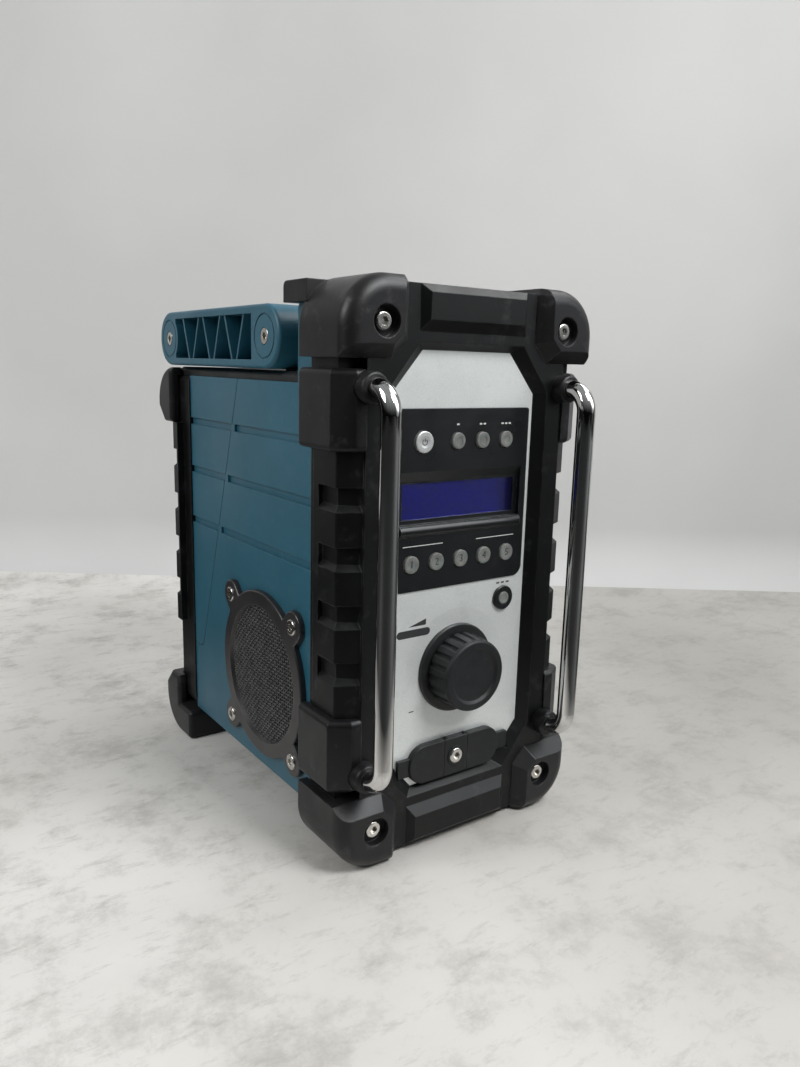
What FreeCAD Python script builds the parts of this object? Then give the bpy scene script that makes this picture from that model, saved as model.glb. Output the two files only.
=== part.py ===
import FreeCAD, Part
import math
import os

# Jobsite radio: X to its right, Y to its back, Z up, millimetres.
# Origin: on the floor, in the middle of the overall box.

# Overall size, over the rubber bumpers and the chrome guard bars
overall_width = 163.0
overall_height = 302.0
overall_depth = 259.0

# Clearances
seam_gap = 0.6
fit_gap = 0.3
touch_gap = 0.05
running_gap = 0.05

# Guard bars
bar_standoff = 17.1
bar_radius = 5.0
bar_bend = 12.0
bar_offset = 64.4
bar_half_span = 0.326159 * overall_height
bar_seat = 6.5
collar_radius = 7.6
collar_length = 7.5

# Corner bumpers
bumper_proud = 7.5
bumper_corner = 25.0
bumper_edge = 8.0
bumper_height = 0.129139 * overall_height
bumper_foot = 41.0
bumper_skin = 5.5
bumper_top_skin = 7.0
bumper_depth = 43.3
bumper_inner = 42.1
bumper_slope = 6.6
bumper_cut = 9.4
bumper_front_cut = 6.0
bumper_end_cut = 3.5
cap_reach = 23.7
cap_inner = 36.0
cap_height = 10.5
cap_side = 2.5

# Front frame
plate_half = 65.0
plate_thickness = 5.0
plate_top_gap = 3.0
frame_depth = 33.0
frame_wall = 4.0
shoulder_step = 7.6
opening_half = 53.5
opening_height = 0.797351 * overall_height
opening_flat = 34.5
opening_side = 0.639073 * overall_height
opening_slope = 6.0
brow_half = 35.0
brow_height = 22.5
brow_proud = 4.0

# Side rails with their windows
rail_recess = 4.8
rail_depth = 22.0
rail_lap = 1.0
rail_start = 1.0
rail_round = 1.0
rail_half_height = 0.225166 * overall_height
window_count = 4
window_pitch = 0.098013 * overall_height
window_height = 0.039735 * overall_height
window_depth = 2.5
window_sill = 3.0
window_reach = 16.8

# Blocks that hold the guard bars
block_height = 0.129139 * overall_height
block_round = 3.0
block_slant = 7.0
block_flat = 6.0

# Teal housings
body_relief = 7.5
body_wall = 3.0
ground_gap = 22.5
deck_drop = 0.172185 * overall_height
tower_drop = 12.5
tower_depth = 17.4
rear_frame_start = 39.5
seam_top_inset = 112.1
seam_low_inset = 57.1
seam_low_height = 0.274172 * overall_height
seam_foot_height = 0.230132 * overall_height
seam_round = 8.0
groove_shares = (0.732450, 0.628477, 0.517219)
groove_width = 4.3
groove_depth = 1.5
groove_lead = 4.0

# Rear frame and rear bumpers
rear_bumper_proud = 17.5
rear_rail_depth = 11.0
rear_rail_recess = 2.0
rear_rail_slant = 3.0
rear_bumper_depth = 23.5
rear_bumper_height = 36.0
rear_top_rise = 5.0

# Battery door
door_side = 22.0
door_bottom = 0.251656 * overall_height
door_top = 0.774834 * overall_height
door_thickness = 4.0
door_rib = 2.0
hinge_radius = 2.8
hinge_pin_radius = 1.25
latch_half = 12.0
latch_height = 15.0
latch_travel = 4.0

# Top deck and handle
deck_rise = 5.5
pivot_back = 86.0
pivot_rise = 23.3
handle_end_gap = 1.0
arm_radius = 16.9
arm_thickness = 20.0
arm_relief = 2.5
pocket_half = 12.3
pocket_depth = 14.0
pocket_inset = 15.5
rib_width = 1.6
rib_count = 6
grip_radius = 13.5
lug_thickness = 12.0
pivot_pin_radius = 4.0
boss_radius = 12.0
boss_groove = 0.6

# Speakers
speaker_back = 97.5
speaker_height = 0.267550 * overall_height
speaker_screw_half = 39.05
ring_radius = 49.6
ring_ear = 9.0
ring_thickness = 3.5
mesh_radius = 40.1
mesh_thickness = 0.8
mesh_dome = 2.0
cone_depth = 12.0
magnet_radius = 22.0
magnet_depth = 12.0

# Front panel and what is on it
panel_thickness = 3.0
panel_margin = 2.5
display_half = 45.0
display_bottom = 0.478477 * overall_height
display_top = 0.791391 * overall_height
display_round = 6.0
display_thickness = 4.0
recess_half = 41.0
screen_half = 38.0
screen_bottom = 0.602649 * overall_height
screen_top = 0.665563 * overall_height
screen_depth = 2.6
recess_top = 0.685430 * overall_height
ledge_height = 0.584437 * overall_height
ledge_radius = 3.2
key_proud = 1.4
key_travel = 0.8
key_flange = 1.3
key_gap = 0.45
power_offset = -27.2
power_radius = 5.6
upper_row = 0.736093 * overall_height
upper_keys = (-5.0, 11.8, 28.4)
upper_radius = 4.4
lower_row = 0.527152 * overall_height
lower_pitch = 16.4
lower_count = 5
lower_radius = 4.7
tune_offset = 32.2
tune_drop = 11.9
tune_radius = 3.6
tune_collar_radius = 7.0
tune_collar_proud = 1.6

# Volume knob
knob_height = 0.321854 * overall_height
knob_radius = 19.7
knob_length = 15.0
knob_taper = 1.0
knob_flutes = 20
flute_radius = 1.7
knob_dish = 1.2
disc_radius = 25.0
disc_thickness = 2.2
dish_radius = 34.0
dish_depth = 1.2
spindle_radius = 3.0
push_travel = 0.6

# Rubber cover over the sockets
cover_half = 32.0
cover_height = 0.152318 * overall_height
cover_half_height = 11.2
cover_thickness = 3.7
cover_strip = 8.0
tab_half = 39.0
tab_half_height = 5.0
socket_offset = 20.0
aux_radius = 1.75
dc_radius = 2.75
dc_pin_radius = 1.0
socket_body = 5.0
socket_length = 14.0

# Screws
screw_head_radius = 4.6
screw_head_height = 2.5
screw_shank_radius = 2.0
screw_shank_length = 8.0
screw_socket_radius = 2.2
screw_socket_depth = 1.6
bumper_screw_offset = 59.1
bumper_screw_inset = 22.0
bumper_screw_recess = 7.6
bumper_screw_depth = 5.0

# Antenna socket
antenna_height = 9.0
antenna_radius = 6.0
antenna_bore = 2.2
antenna_floor = 3.0
antenna_back = 12.0

# Boards and battery
board_thickness = 1.6
battery_width = 75.0
battery_length = 112.0
battery_depth = 41.5
battery_top_gap = 20.0
terminal_depth = 6.0
terminal_rise = 12.0
terminal_length = 40.0
module_margin = 3.0
board_setback = 5.0
board_drop = 14.0
main_board_back = 20.0
main_board_inset = 30.0
encoder_half = 7.0
socket_board_margin = 9.0

# Planes that follow from the sizes
half_width = overall_width / 2
mid_height = overall_height / 2
front_face = -overall_depth / 2 + bar_standoff
rear_face = overall_depth / 2
plate_face = front_face + bumper_proud
panel_face = plate_face + plate_thickness
shoulder_face = plate_face + shoulder_step
frame_back = plate_face + frame_depth
seat_half = half_width - bumper_skin
seat_top = overall_height - bumper_top_skin
body_half = half_width - body_relief
body_inner = body_half - body_wall
door_half = body_half - door_side
deck_edge = overall_height - deck_drop
tower_top = overall_height - tower_drop
deck_top = deck_edge + deck_rise
tower_back = frame_back + tower_depth
rear_plate = rear_face - rear_bumper_proud
body_rear = rear_face - rear_frame_start
pivot_y = front_face + pivot_back
pivot_z = deck_edge + pivot_rise
grip_y = rear_face - handle_end_gap - arm_radius
arm_outer = half_width - arm_relief
arm_inner = arm_outer - arm_thickness
tune_height = display_bottom - tune_drop


def vec(x, y, z):
    return FreeCAD.Vector(x, y, z)


def box(x0, x1, y0, y1, z0, z1):
    return Part.makeBox(x1 - x0, y1 - y0, z1 - z0, vec(x0, y0, z0))


def along_x(x0, x1, radius, y, z):
    return Part.makeCylinder(radius, x1 - x0, vec(x0, y, z), vec(1, 0, 0))


def along_y(y0, y1, radius, x, z):
    return Part.makeCylinder(radius, y1 - y0, vec(x, y0, z), vec(0, 1, 0))


def along_z(z0, z1, radius, x, y):
    return Part.makeCylinder(radius, z1 - z0, vec(x, y, z0), vec(0, 0, 1))


def outline(points, place, radii=None):
    # Closed wire through 2-D points, with a tangent arc where a corner has a radius
    count = len(points)
    radii = radii or [0.0] * count
    starts, ends, mids = [], [], []
    for i in range(count):
        corner = FreeCAD.Vector(points[i][0], points[i][1], 0)
        before = FreeCAD.Vector(points[i - 1][0], points[i - 1][1], 0)
        after = FreeCAD.Vector(points[(i + 1) % count][0], points[(i + 1) % count][1], 0)
        if radii[i] <= 0:
            starts.append(corner)
            ends.append(corner)
            mids.append(None)
            continue
        u = (before - corner).normalize()
        v = (after - corner).normalize()
        half = u.getAngle(v) / 2
        back = radii[i] / math.tan(half)
        bisector = (u + v).normalize()
        centre = corner + bisector * (radii[i] / math.sin(half))
        starts.append(corner + u * back)
        ends.append(corner + v * back)
        mids.append(centre - bisector * radii[i])
    edges = []
    for i in range(count):
        if mids[i] is not None:
            edges.append(Part.Arc(place(starts[i]), place(mids[i]), place(ends[i])).toShape())
        following = starts[(i + 1) % count]
        if ends[i].distanceToPoint(following) > 1e-6:
            edges.append(Part.makeLine(place(ends[i]), place(following)))
    return Part.Wire(edges)


def front_prism(points, y0, y1, radii=None):
    # Outline in X and Z, carried along Y
    wire = outline(points, lambda p: vec(p.x, y0, p.y), radii)
    return Part.Face(wire).extrude(vec(0, y1 - y0, 0))


def side_prism(points, x0, x1, radii=None):
    # Outline in Y and Z, carried along X
    wire = outline(points, lambda p: vec(x0, p.x, p.y), radii)
    return Part.Face(wire).extrude(vec(x1 - x0, 0, 0))


def front_taper(points_near, y_near, points_far, y_far):
    # Straight walls between two outlines of as many corners
    near = outline(points_near, lambda p: vec(p.x, y_near, p.y))
    far = outline(points_far, lambda p: vec(p.x, y_far, p.y))
    return Part.makeLoft([near, far], True, True)


def left_of(shape):
    return shape.mirror(vec(0, 0, 0), vec(1, 0, 0))


def below(shape):
    return shape.mirror(vec(0, 0, mid_height), vec(0, 0, 1))


def both_sides(shape):
    return [shape, left_of(shape)]


def round_edges(shape, radius, wanted):
    # Fillet on the edges whose whole length the test accepts
    edges = []
    for edge in shape.Edges:
        first, last = edge.ParameterRange
        probes = [edge.valueAt(first + (last - first) * k / 4) for k in range(5)]
        if all(wanted(p) for p in probes):
            edges.append(edge)
    return shape.makeFillet(radius, edges) if edges else shape


def fuse(shapes):
    return shapes[0].fuse(shapes[1:]).removeSplitter()


def near(a, b):
    return abs(a - b) < 0.01


def save(node, shape):
    shape.exportStep("parts/" + node + ".step")


def octagon(half, height, flat, side):
    z = height / 2
    s = side / 2
    shape = [(flat, z), (half, s), (half, -s), (flat, -z), (-flat, -z), (-half, -s), (-half, s), (-flat, z)]
    return [(x, mid_height + dz) for x, dz in shape]


def screw(x, y, z, direction):
    # Button head with a six-sided socket; the head's underside is at the point given
    head = Part.makeCylinder(screw_head_radius, screw_head_height, vec(0, 0, 0), vec(0, 0, 1))
    head = round_edges(head, screw_head_height * 0.4, lambda p: near(p.z, screw_head_height))
    shank = along_z(-screw_shank_length, 0, screw_shank_radius, 0, 0)
    corners = []
    for k in range(6):
        angle = math.radians(60 * k)
        corners.append((screw_socket_radius * math.cos(angle), screw_socket_radius * math.sin(angle)))
    floor = screw_head_height - screw_socket_depth
    wire = outline(corners, lambda p: vec(p.x, p.y, floor))
    socket = Part.Face(wire).extrude(vec(0, 0, screw_socket_depth + 1))
    shape = fuse([head, shank]).cut(socket)
    turn = FreeCAD.Rotation(vec(0, 0, 1), direction)
    shape.Placement = FreeCAD.Placement(vec(x, y, z), turn)
    return shape


def seat_volume(back):
    # Space inside the bumpers and blocks, as far back as given; the front frame fills its front
    top = seat_top
    low = overall_height - seat_top
    round_to = bumper_corner - bumper_skin
    points = [(seat_half, low), (seat_half, top), (-seat_half, top), (-seat_half, low)]
    core = front_prism(points, shoulder_face, back, [round_to] * 4)
    points = [(plate_half, low), (plate_half, top), (-plate_half, top), (-plate_half, low)]
    plate = front_prism(points, plate_face, shoulder_face + 1, [round_to / 2] * 4)
    middle_top = overall_height - plate_top_gap
    middle = box(-bumper_inner, bumper_inner, plate_face, back, plate_top_gap, middle_top)
    return fuse([core, plate, middle])


def upright(points, z0, z1):
    # Outline in X and Y, carried along Z
    wire = outline(points, lambda p: vec(p.x, p.y, z0))
    return Part.Face(wire).extrude(vec(0, 0, z1 - z0))


def upright_taper(points_low, z_low, points_high, z_high):
    low = outline(points_low, lambda p: vec(p.x, p.y, z_low))
    high = outline(points_high, lambda p: vec(p.x, p.y, z_high))
    return Part.makeLoft([low, high], True, True)


def rail_plan(x_out, face_y, corner_y, back_y, inset):
    # Plan of an upright rail whose face slants to its outer corner
    x_in = plate_half - rail_lap
    shift = inset if back_y > face_y else -inset
    return [(x_in, face_y + shift), (x_out - inset, corner_y + shift), (x_out - inset, back_y), (x_in, back_y)]


def rail(x_out, face_y, corner_y, back_y):
    low = mid_height - rail_half_height
    shape = upright(rail_plan(x_out, face_y, corner_y, back_y, 0), low, low + 2 * rail_half_height)
    return round_edges(shape, rail_round, lambda p: near(p.x, x_out) and near(p.y, corner_y))


def rail_windows(x_out, face_y, corner_y, back_y):
    # Shallow windows that wrap round the rail's outer corner, each with a sloping sill
    inward = 1 if back_y > face_y else -1
    reach = min(window_reach, abs(back_y - corner_y) * 0.75)
    y0, y1 = sorted((face_y - inward, corner_y + inward * reach))
    outer = rail_plan(x_out, face_y, corner_y, back_y, 0)
    floor = rail_plan(x_out, face_y, corner_y, back_y, window_depth)
    windows = []
    for i in range(window_count):
        base = mid_height + (i - (window_count - 1) / 2) * window_pitch - window_height / 2
        hole = box(plate_half, x_out + 1, y0, y1, base, base + window_height)
        core = upright(floor, base, base + window_height)
        sill = upright_taper(outer, base, floor, base + window_sill)
        windows.append(hole.cut(core).cut(sill))
    return windows


def front_rail_sizes():
    return half_width - rail_recess, plate_face + rail_start, shoulder_face, shoulder_face + rail_depth


def rear_rail_sizes():
    return half_width - rear_rail_recess, rear_plate, rear_plate - rear_rail_slant, rear_plate - rear_rail_depth


def brow():
    # Raised bar in the middle of the frame's top edge
    top = overall_height - plate_top_gap
    near_face = plate_face - brow_proud
    inset = brow_proud
    slope = brow_proud * 1.4
    far = [(-brow_half, top - brow_height), (brow_half, top - brow_height), (brow_half, top), (-brow_half, top)]
    front = [(-brow_half + inset, top - brow_height + slope), (brow_half - inset, top - brow_height + slope),
             (brow_half - inset, top - inset), (-brow_half + inset, top - inset)]
    return front_taper(front, near_face, far, plate_face)


def bumper_screw_places():
    z = overall_height - bumper_screw_inset
    return [(side * bumper_screw_offset, height) for side in (1, -1) for height in (z, overall_height - z)]


def bar_end_heights():
    return (mid_height - bar_half_span, mid_height + bar_half_span)


def front_frame():
    shape = seat_volume(frame_back)
    rails = both_sides(rail(*front_rail_sizes()))
    bars = [brow(), below(brow())]
    shape = fuse([shape] + rails + bars)
    for window in rail_windows(*front_rail_sizes()):
        shape = shape.cut(both_sides(window))
    pocket_half_width = plate_half - frame_wall * 1.75
    pocket_top = seat_top - bumper_screw_inset + frame_wall
    pocket = box(-pocket_half_width, pocket_half_width, panel_face, frame_back + 1,
                 overall_height - pocket_top, pocket_top)
    inner = seat_half - frame_wall
    inner_top = seat_top - frame_wall
    points = [(inner, overall_height - inner_top), (inner, inner_top), (-inner, inner_top),
              (-inner, overall_height - inner_top)]
    hollow = front_prism(points, panel_face + 2 * panel_thickness, frame_back + 1,
                         [bumper_corner - bumper_skin - frame_wall] * 4)
    wide = octagon(opening_half, opening_height, opening_flat, opening_side)
    tight = octagon(opening_half - opening_slope, opening_height - opening_slope * 1.2,
                    opening_flat - opening_slope * 0.9, opening_side - opening_slope * 0.4)
    window = front_taper(wide, plate_face, tight, panel_face)
    shape = shape.cut(fuse([pocket, hollow])).cut(window)
    notch_half = tab_half_height + 2 * fit_gap
    shape = shape.cut(box(-tab_half - 2 * fit_gap, tab_half + 2 * fit_gap, plate_face - 1, panel_face,
                          cover_height - notch_half, cover_height + notch_half))
    for x, z in bumper_screw_places():
        hole = along_y(plate_face - 1, panel_face + screw_shank_length, screw_shank_radius + touch_gap, x, z)
        shape = shape.cut(hole)
    for z in bar_end_heights():
        for side in (1, -1):
            hole = along_y(plate_face - 1, plate_face + bar_seat + touch_gap, bar_radius + touch_gap, side * bar_offset, z)
            shape = shape.cut(hole)
    return shape


def bumper_form():
    # Outer form of the top right bumper, before the frame's seat is taken out
    back = front_face + bumper_depth
    low = overall_height - bumper_height
    points = [(bumper_inner, low), (half_width, low), (half_width, overall_height), (bumper_inner, overall_height)]
    shape = front_prism(points, front_face, back, [0, 0, bumper_corner, 0])
    edge_x = half_width - 0.02
    edge_z = overall_height - 0.02
    arc = vec(half_width - bumper_corner, 0, overall_height - bumper_corner)

    def outer(p):
        on_arc = p.x > arc.x and p.z > arc.z and near(math.hypot(p.x - arc.x, p.z - arc.z), bumper_corner)
        return near(p.y, front_face) and (p.x > edge_x or p.z > edge_z or on_arc)

    return round_edges(shape, bumper_edge, outer)


def bumper_cutter():
    # What stays of the bumper's front: sloping inner walls and the cut corner
    low = overall_height - bumper_height
    past = half_width + 1
    over = overall_height + 1
    near_x = bumper_inner + bumper_slope
    near_z = low + bumper_slope
    end_z = overall_height - bumper_end_cut
    front = [(near_x + bumper_end_cut, over), (near_x, end_z), (near_x, near_z + bumper_front_cut),
             (near_x + bumper_front_cut, near_z), (past, near_z), (past, over)]
    back = [(bumper_inner + bumper_end_cut, over), (bumper_inner, end_z), (bumper_inner, low + bumper_cut),
            (bumper_inner + bumper_cut, low), (past, low), (past, over)]
    taper = front_taper(front, front_face, back, plate_face)
    rest = front_prism(back, plate_face, front_face + bumper_depth)
    return fuse([taper, rest])


def bumper(with_cap):
    shape = bumper_form().common(bumper_cutter())
    if with_cap:
        reach = frame_back + cap_reach
        cap = box(cap_inner + 4, half_width - cap_side, frame_back, reach, tower_top, tower_top + cap_height)
        cap = round_edges(cap, cap_height * 0.3, lambda p: near(p.z, tower_top + cap_height) and p.y > frame_back + 0.1)
        shape = fuse([shape, cap])
    z = overall_height - bumper_screw_inset
    recess = along_y(front_face - 1, front_face + bumper_screw_depth, bumper_screw_recess, bumper_screw_offset, z)
    hole = along_y(front_face, plate_face + 1, screw_shank_radius + touch_gap, bumper_screw_offset, z)
    body = box(-body_half, body_half, frame_back, front_face + bumper_depth, ground_gap, tower_top)
    return shape.cut(seat_volume(front_face + bumper_depth)).cut(body).cut(recess).cut(hole)


def block():
    # Rubber block outside the frame where the upper end of the right guard bar is held
    low = mid_height + rail_half_height
    top = low + block_height
    face = plate_face - 1
    back = front_face + bumper_depth
    plan = [(plate_half, face), (plate_half + block_flat, face), (half_width, face + block_slant), (half_width, back),
            (plate_half, back)]
    shape = upright(plan, low, top)

    def outer(p):
        return (near(p.z, low) or near(p.z, top)) and (near(p.x, half_width) or p.y < face + block_slant + 0.01)

    shape = round_edges(shape, block_round, outer)
    scoop = along_y(face - 1, shoulder_face + 1, collar_radius + fit_gap, bar_offset, mid_height + bar_half_span)
    return shape.cut(seat_volume(back)).cut(scoop)


def guard_bar():
    # Chrome bar bent back into the frame at both ends
    face = -overall_depth / 2 + bar_radius
    inside = plate_face + bar_seat
    top = mid_height + bar_half_span
    low = mid_height - bar_half_span
    turn = bar_bend * (1 - math.sqrt(0.5))
    path = [Part.makeLine(vec(bar_offset, inside, low), vec(bar_offset, face + bar_bend, low)),
            Part.Arc(vec(bar_offset, face + bar_bend, low), vec(bar_offset, face + turn, low + turn),
                     vec(bar_offset, face, low + bar_bend)).toShape(),
            Part.makeLine(vec(bar_offset, face, low + bar_bend), vec(bar_offset, face, top - bar_bend)),
            Part.Arc(vec(bar_offset, face, top - bar_bend), vec(bar_offset, face + turn, top - turn),
                     vec(bar_offset, face + bar_bend, top)).toShape(),
            Part.makeLine(vec(bar_offset, face + bar_bend, top), vec(bar_offset, inside, top))]
    section = Part.Wire([Part.makeCircle(bar_radius, vec(bar_offset, inside, low), vec(0, 1, 0))])
    return Part.Wire(path).makePipeShell([section], True, False)


def bar_collars():
    rings = []
    for z in bar_end_heights():
        for side in (1, -1):
            x = side * bar_offset
            outer = along_y(plate_face - collar_length, plate_face, collar_radius, x, z)
            outer = round_edges(outer, 1.5, lambda p: near(p.y, plate_face - collar_length))
            bore = along_y(plate_face - collar_length - 1, plate_face + 1, bar_radius + touch_gap, x, z)
            rings.append(outer.cut(bore))
    return Part.makeCompound(rings)


def seam_slope():
    return (seam_top_inset - seam_low_inset) / (deck_edge - seam_low_height)


def seam_at(z, shift):
    # Point of the slanted joint line at a height, moved back by a given distance
    return rear_face - seam_top_inset + shift + seam_slope() * (deck_edge - z), z


def groove_heights():
    return [share * overall_height for share in groove_shares]


def front_housing():
    start = seam_at(deck_edge, 0)
    foot = seam_at(seam_foot_height, 0)
    points = [(frame_back, ground_gap), (body_rear, ground_gap), (body_rear, seam_foot_height), foot, start,
              (tower_back, deck_edge), (tower_back, tower_top), (frame_back, tower_top)]
    shape = side_prism(points, -body_half, body_half, [0, 0, 0, seam_round, 0, 0, 3, 0])
    wall = body_wall
    inner = [(frame_back - 1, ground_gap + wall), (body_rear - wall, ground_gap + wall),
             (body_rear - wall, seam_foot_height - wall), seam_at(seam_foot_height - wall, -wall),
             seam_at(deck_edge - wall, -wall), (tower_back - wall, deck_edge - wall),
             (tower_back - wall, tower_top - wall), (frame_back - 1, tower_top - wall)]
    shape = shape.cut(side_prism(inner, -body_inner, body_inner))
    y = front_face + speaker_back
    shape = shape.cut(along_x(-body_half - 1, body_half + 1, mesh_radius - 1, y, speaker_height))
    for side in (1, -1):
        for one, other in speaker_screw_places():
            x0 = min(side * body_inner, side * body_half) - 1
            shape = shape.cut(along_x(x0, x0 + body_wall + 2, screw_shank_radius + touch_gap, one, other))
    for z in groove_heights():
        ahead = seam_at(z, 0)[0]
        for side in (1, -1):
            depth_face = body_half - groove_depth
            x0, x1 = sorted((side * depth_face, side * (body_half + 1)))
            shape = shape.cut(box(x0, x1, frame_back - 1, ahead - groove_lead, z - groove_width / 2, z + groove_width / 2))
    return shape


def rear_housing():
    low = seam_foot_height + seam_gap
    points = [(body_rear, low), (body_rear, deck_edge), seam_at(deck_edge, seam_gap), seam_at(low, seam_gap)]
    shape = side_prism(points, -body_half, body_half, [0, 0, 0, seam_round - seam_gap])
    wall = body_wall
    inner = [(body_rear + 1, low + wall), (body_rear + 1, deck_edge - wall),
             seam_at(deck_edge - wall, seam_gap + wall), seam_at(low + wall, seam_gap + wall)]
    shape = shape.cut(side_prism(inner, -body_inner, body_inner))
    for z in groove_heights():
        for side in (1, -1):
            x0, x1 = sorted((side * (body_half - groove_depth), side * (body_half + 1)))
            shape = shape.cut(box(x0, x1, front_face, body_rear + 1, z - groove_width / 2, z + groove_width / 2))
    return shape


def rear_frame():
    # Black frame round the battery door, with its own rails and windows
    top = deck_edge
    round_to = bumper_corner - bumper_skin
    outer = body_half + 1
    points = [(outer, ground_gap - 2), (outer, top), (-outer, top), (-outer, ground_gap - 2)]
    shape = front_prism(points, body_rear, rear_plate, [round_to / 2, 4, 4, round_to / 2])
    rails = both_sides(rail(*rear_rail_sizes()))
    shape = fuse([shape] + rails)
    for window in rail_windows(*rear_rail_sizes()):
        shape = shape.cut(both_sides(window))
    inner_points = [(body_inner, ground_gap + body_wall), (body_inner, top - body_wall),
                    (-body_inner, top - body_wall), (-body_inner, ground_gap + body_wall)]
    hollow = front_prism(inner_points, body_rear - 1, rear_plate - door_thickness)
    doorway = box(-door_half, door_half, rear_plate - door_thickness - 1, rear_plate + 1, door_bottom, door_top)
    shape = shape.cut(hollow).cut(doorway)
    pocket_top = door_top + latch_travel + fit_gap
    strike = box(-latch_half, latch_half, rear_plate - door_thickness - 1, rear_plate - door_thickness / 2,
                 door_top - 1, pocket_top)
    shape = shape.cut(strike)
    hinge_y, hinge_z = door_hinge()
    for x0, x1 in frame_knuckles():
        knuckle = along_x(x0, x1, hinge_radius, hinge_y, hinge_z)
        leaf = box(x0, x1, rear_plate - 1, hinge_y, hinge_z - hinge_radius, hinge_z)
        shape = shape.fuse(knuckle.fuse(leaf))
    shape = shape.cut(along_x(-door_half, door_half, hinge_pin_radius + touch_gap, hinge_y, hinge_z))
    return shape.removeSplitter()


def door_hinge():
    return rear_plate + hinge_radius + fit_gap, door_bottom - hinge_radius


def frame_knuckles():
    length = door_half / 4
    return [(-door_half * 0.85, -door_half * 0.85 + length), (door_half * 0.85 - length, door_half * 0.85)]


def rear_bumper(low_end):
    # Rear corner bumper on the right; the low one is the foot
    front = rear_face - rear_bumper_depth
    over = rear_top_rise + deck_edge
    if low_end:
        z0, z1 = 0.0, bumper_foot
    else:
        z0, z1 = over - rear_bumper_height, over
    inner = door_half + 2 * fit_gap
    points = [(front, z0), (rear_face, z0), (rear_face, z1), (front, z1)]
    if low_end:
        points[0] = (front - bumper_corner * 0.8, z0)
        points.insert(4, (front - bumper_corner * 0.8, ground_gap - 2.5))
        points.insert(4, (front, ground_gap - 2.5))
        points[2] = (rear_face, z1 - bumper_slope * 1.5)
        points.insert(3, (rear_face - bumper_slope * 1.5, z1))
        radii = [3, bumper_corner, 0, 0, 0, 0, 3]
    else:
        points[1] = (rear_face, z0 + bumper_slope * 1.5)
        points.insert(1, (rear_face - bumper_slope * 1.5, z0))
        radii = [0, 0, 0, bumper_corner * 0.9, 0]
    shape = side_prism(points, inner, half_width, radii)
    shape = round_edges(shape, block_round, lambda p: near(p.x, half_width) and p.y > front - bumper_corner)
    top = deck_edge
    outer = body_half + 1
    seat = box(-outer, outer, body_rear - bumper_corner, rear_plate, ground_gap - 2, top)
    legs = box(-seat_half, seat_half, rear_plate - rear_rail_depth, rear_plate, ground_gap - 2, top)
    deck = box(-body_half, body_half, front, rear_plate, top - 1, deck_top)
    return shape.cut(seat).cut(legs).cut(deck)


def top_deck():
    y0 = tower_back
    y1 = rear_plate
    half = body_half - 2
    shape = box(-half, half, y0, y1, deck_edge, deck_top)
    shape = round_edges(shape, deck_rise * 0.6, lambda p: near(p.z, deck_top) and near(abs(p.x), half))
    lug_outer = arm_inner - fit_gap
    lug_points = [(pivot_y - arm_radius + 2, deck_edge + 0.5), (pivot_y + arm_radius - 2, deck_edge + 0.5),
                  (pivot_y + boss_radius - 2, pivot_z + boss_radius - 1), (pivot_y - boss_radius + 2, pivot_z + boss_radius - 1)]
    lug = side_prism(lug_points, lug_outer - lug_thickness, lug_outer, [0, 0, boss_radius / 2, boss_radius / 2])
    bore = along_x(lug_outer - lug_thickness - 1, lug_outer + 1, pivot_pin_radius + running_gap, pivot_y, pivot_z)
    lug = lug.cut(bore)
    return fuse([shape] + both_sides(lug))


def stadium(y0, y1, z, radius, x0, x1):
    points = [(y0 - radius, z - radius), (y1 + radius, z - radius), (y1 + radius, z + radius), (y0 - radius, z + radius)]
    return side_prism(points, x0, x1, [radius * 0.999] * 4)


def pocket_outline(x0, x1):
    # Window in the handle's arm, with hollow ends round the screw bosses
    y0 = pivot_y + pocket_inset
    y1 = grip_y - pocket_inset * 0.7
    shape = box(x0, x1, y0, y1, pivot_z - pocket_half, pivot_z + pocket_half)
    for y in (pivot_y, grip_y):
        shape = shape.cut(along_x(x0 - 1, x1 + 1, boss_radius + 2.5, y, pivot_z))
    return shape


def arm_ribs(x0, x1):
    # Slanted thin ribs that cross the window in a zigzag
    y0 = pivot_y + pocket_inset
    y1 = grip_y - pocket_inset * 0.7
    pitch = (y1 - y0) / (rib_count + 1)
    lean = pitch * 0.32
    reach = pocket_half + 1
    ribs = []
    for i in range(rib_count):
        middle = y0 + (i + 1) * pitch
        tilt = lean if i % 2 else -lean
        points = [(middle - tilt - rib_width / 2, pivot_z - reach), (middle - tilt + rib_width / 2, pivot_z - reach),
                  (middle + tilt + rib_width / 2, pivot_z + reach), (middle + tilt - rib_width / 2, pivot_z + reach)]
        ribs.append(side_prism(points, x0, x1))
    return ribs


def handle_arm():
    shape = stadium(pivot_y, grip_y, pivot_z, arm_radius, arm_inner, arm_outer)
    shape = round_edges(shape, 2.0, lambda p: near(p.x, arm_outer))
    floor = arm_outer - pocket_depth
    shape = shape.cut(pocket_outline(floor, arm_outer + 1))
    shape = fuse([shape] + arm_ribs(floor + 1, arm_outer - 0.8))
    for y in (pivot_y, grip_y):
        rim = along_x(arm_outer - boss_groove, arm_outer + 1, boss_radius, y, pivot_z)
        rim = rim.cut(along_x(arm_outer - 1, arm_outer + 1, boss_radius - 1, y, pivot_z))
        shape = shape.cut(rim)
        sink = along_x(arm_outer - screw_head_height, arm_outer + 1, screw_head_radius + touch_gap, y, pivot_z)
        hole = along_x(arm_inner - 1, arm_outer + 1, pivot_pin_radius + touch_gap, y, pivot_z)
        shape = shape.cut(sink).cut(hole)
    return shape


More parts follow.
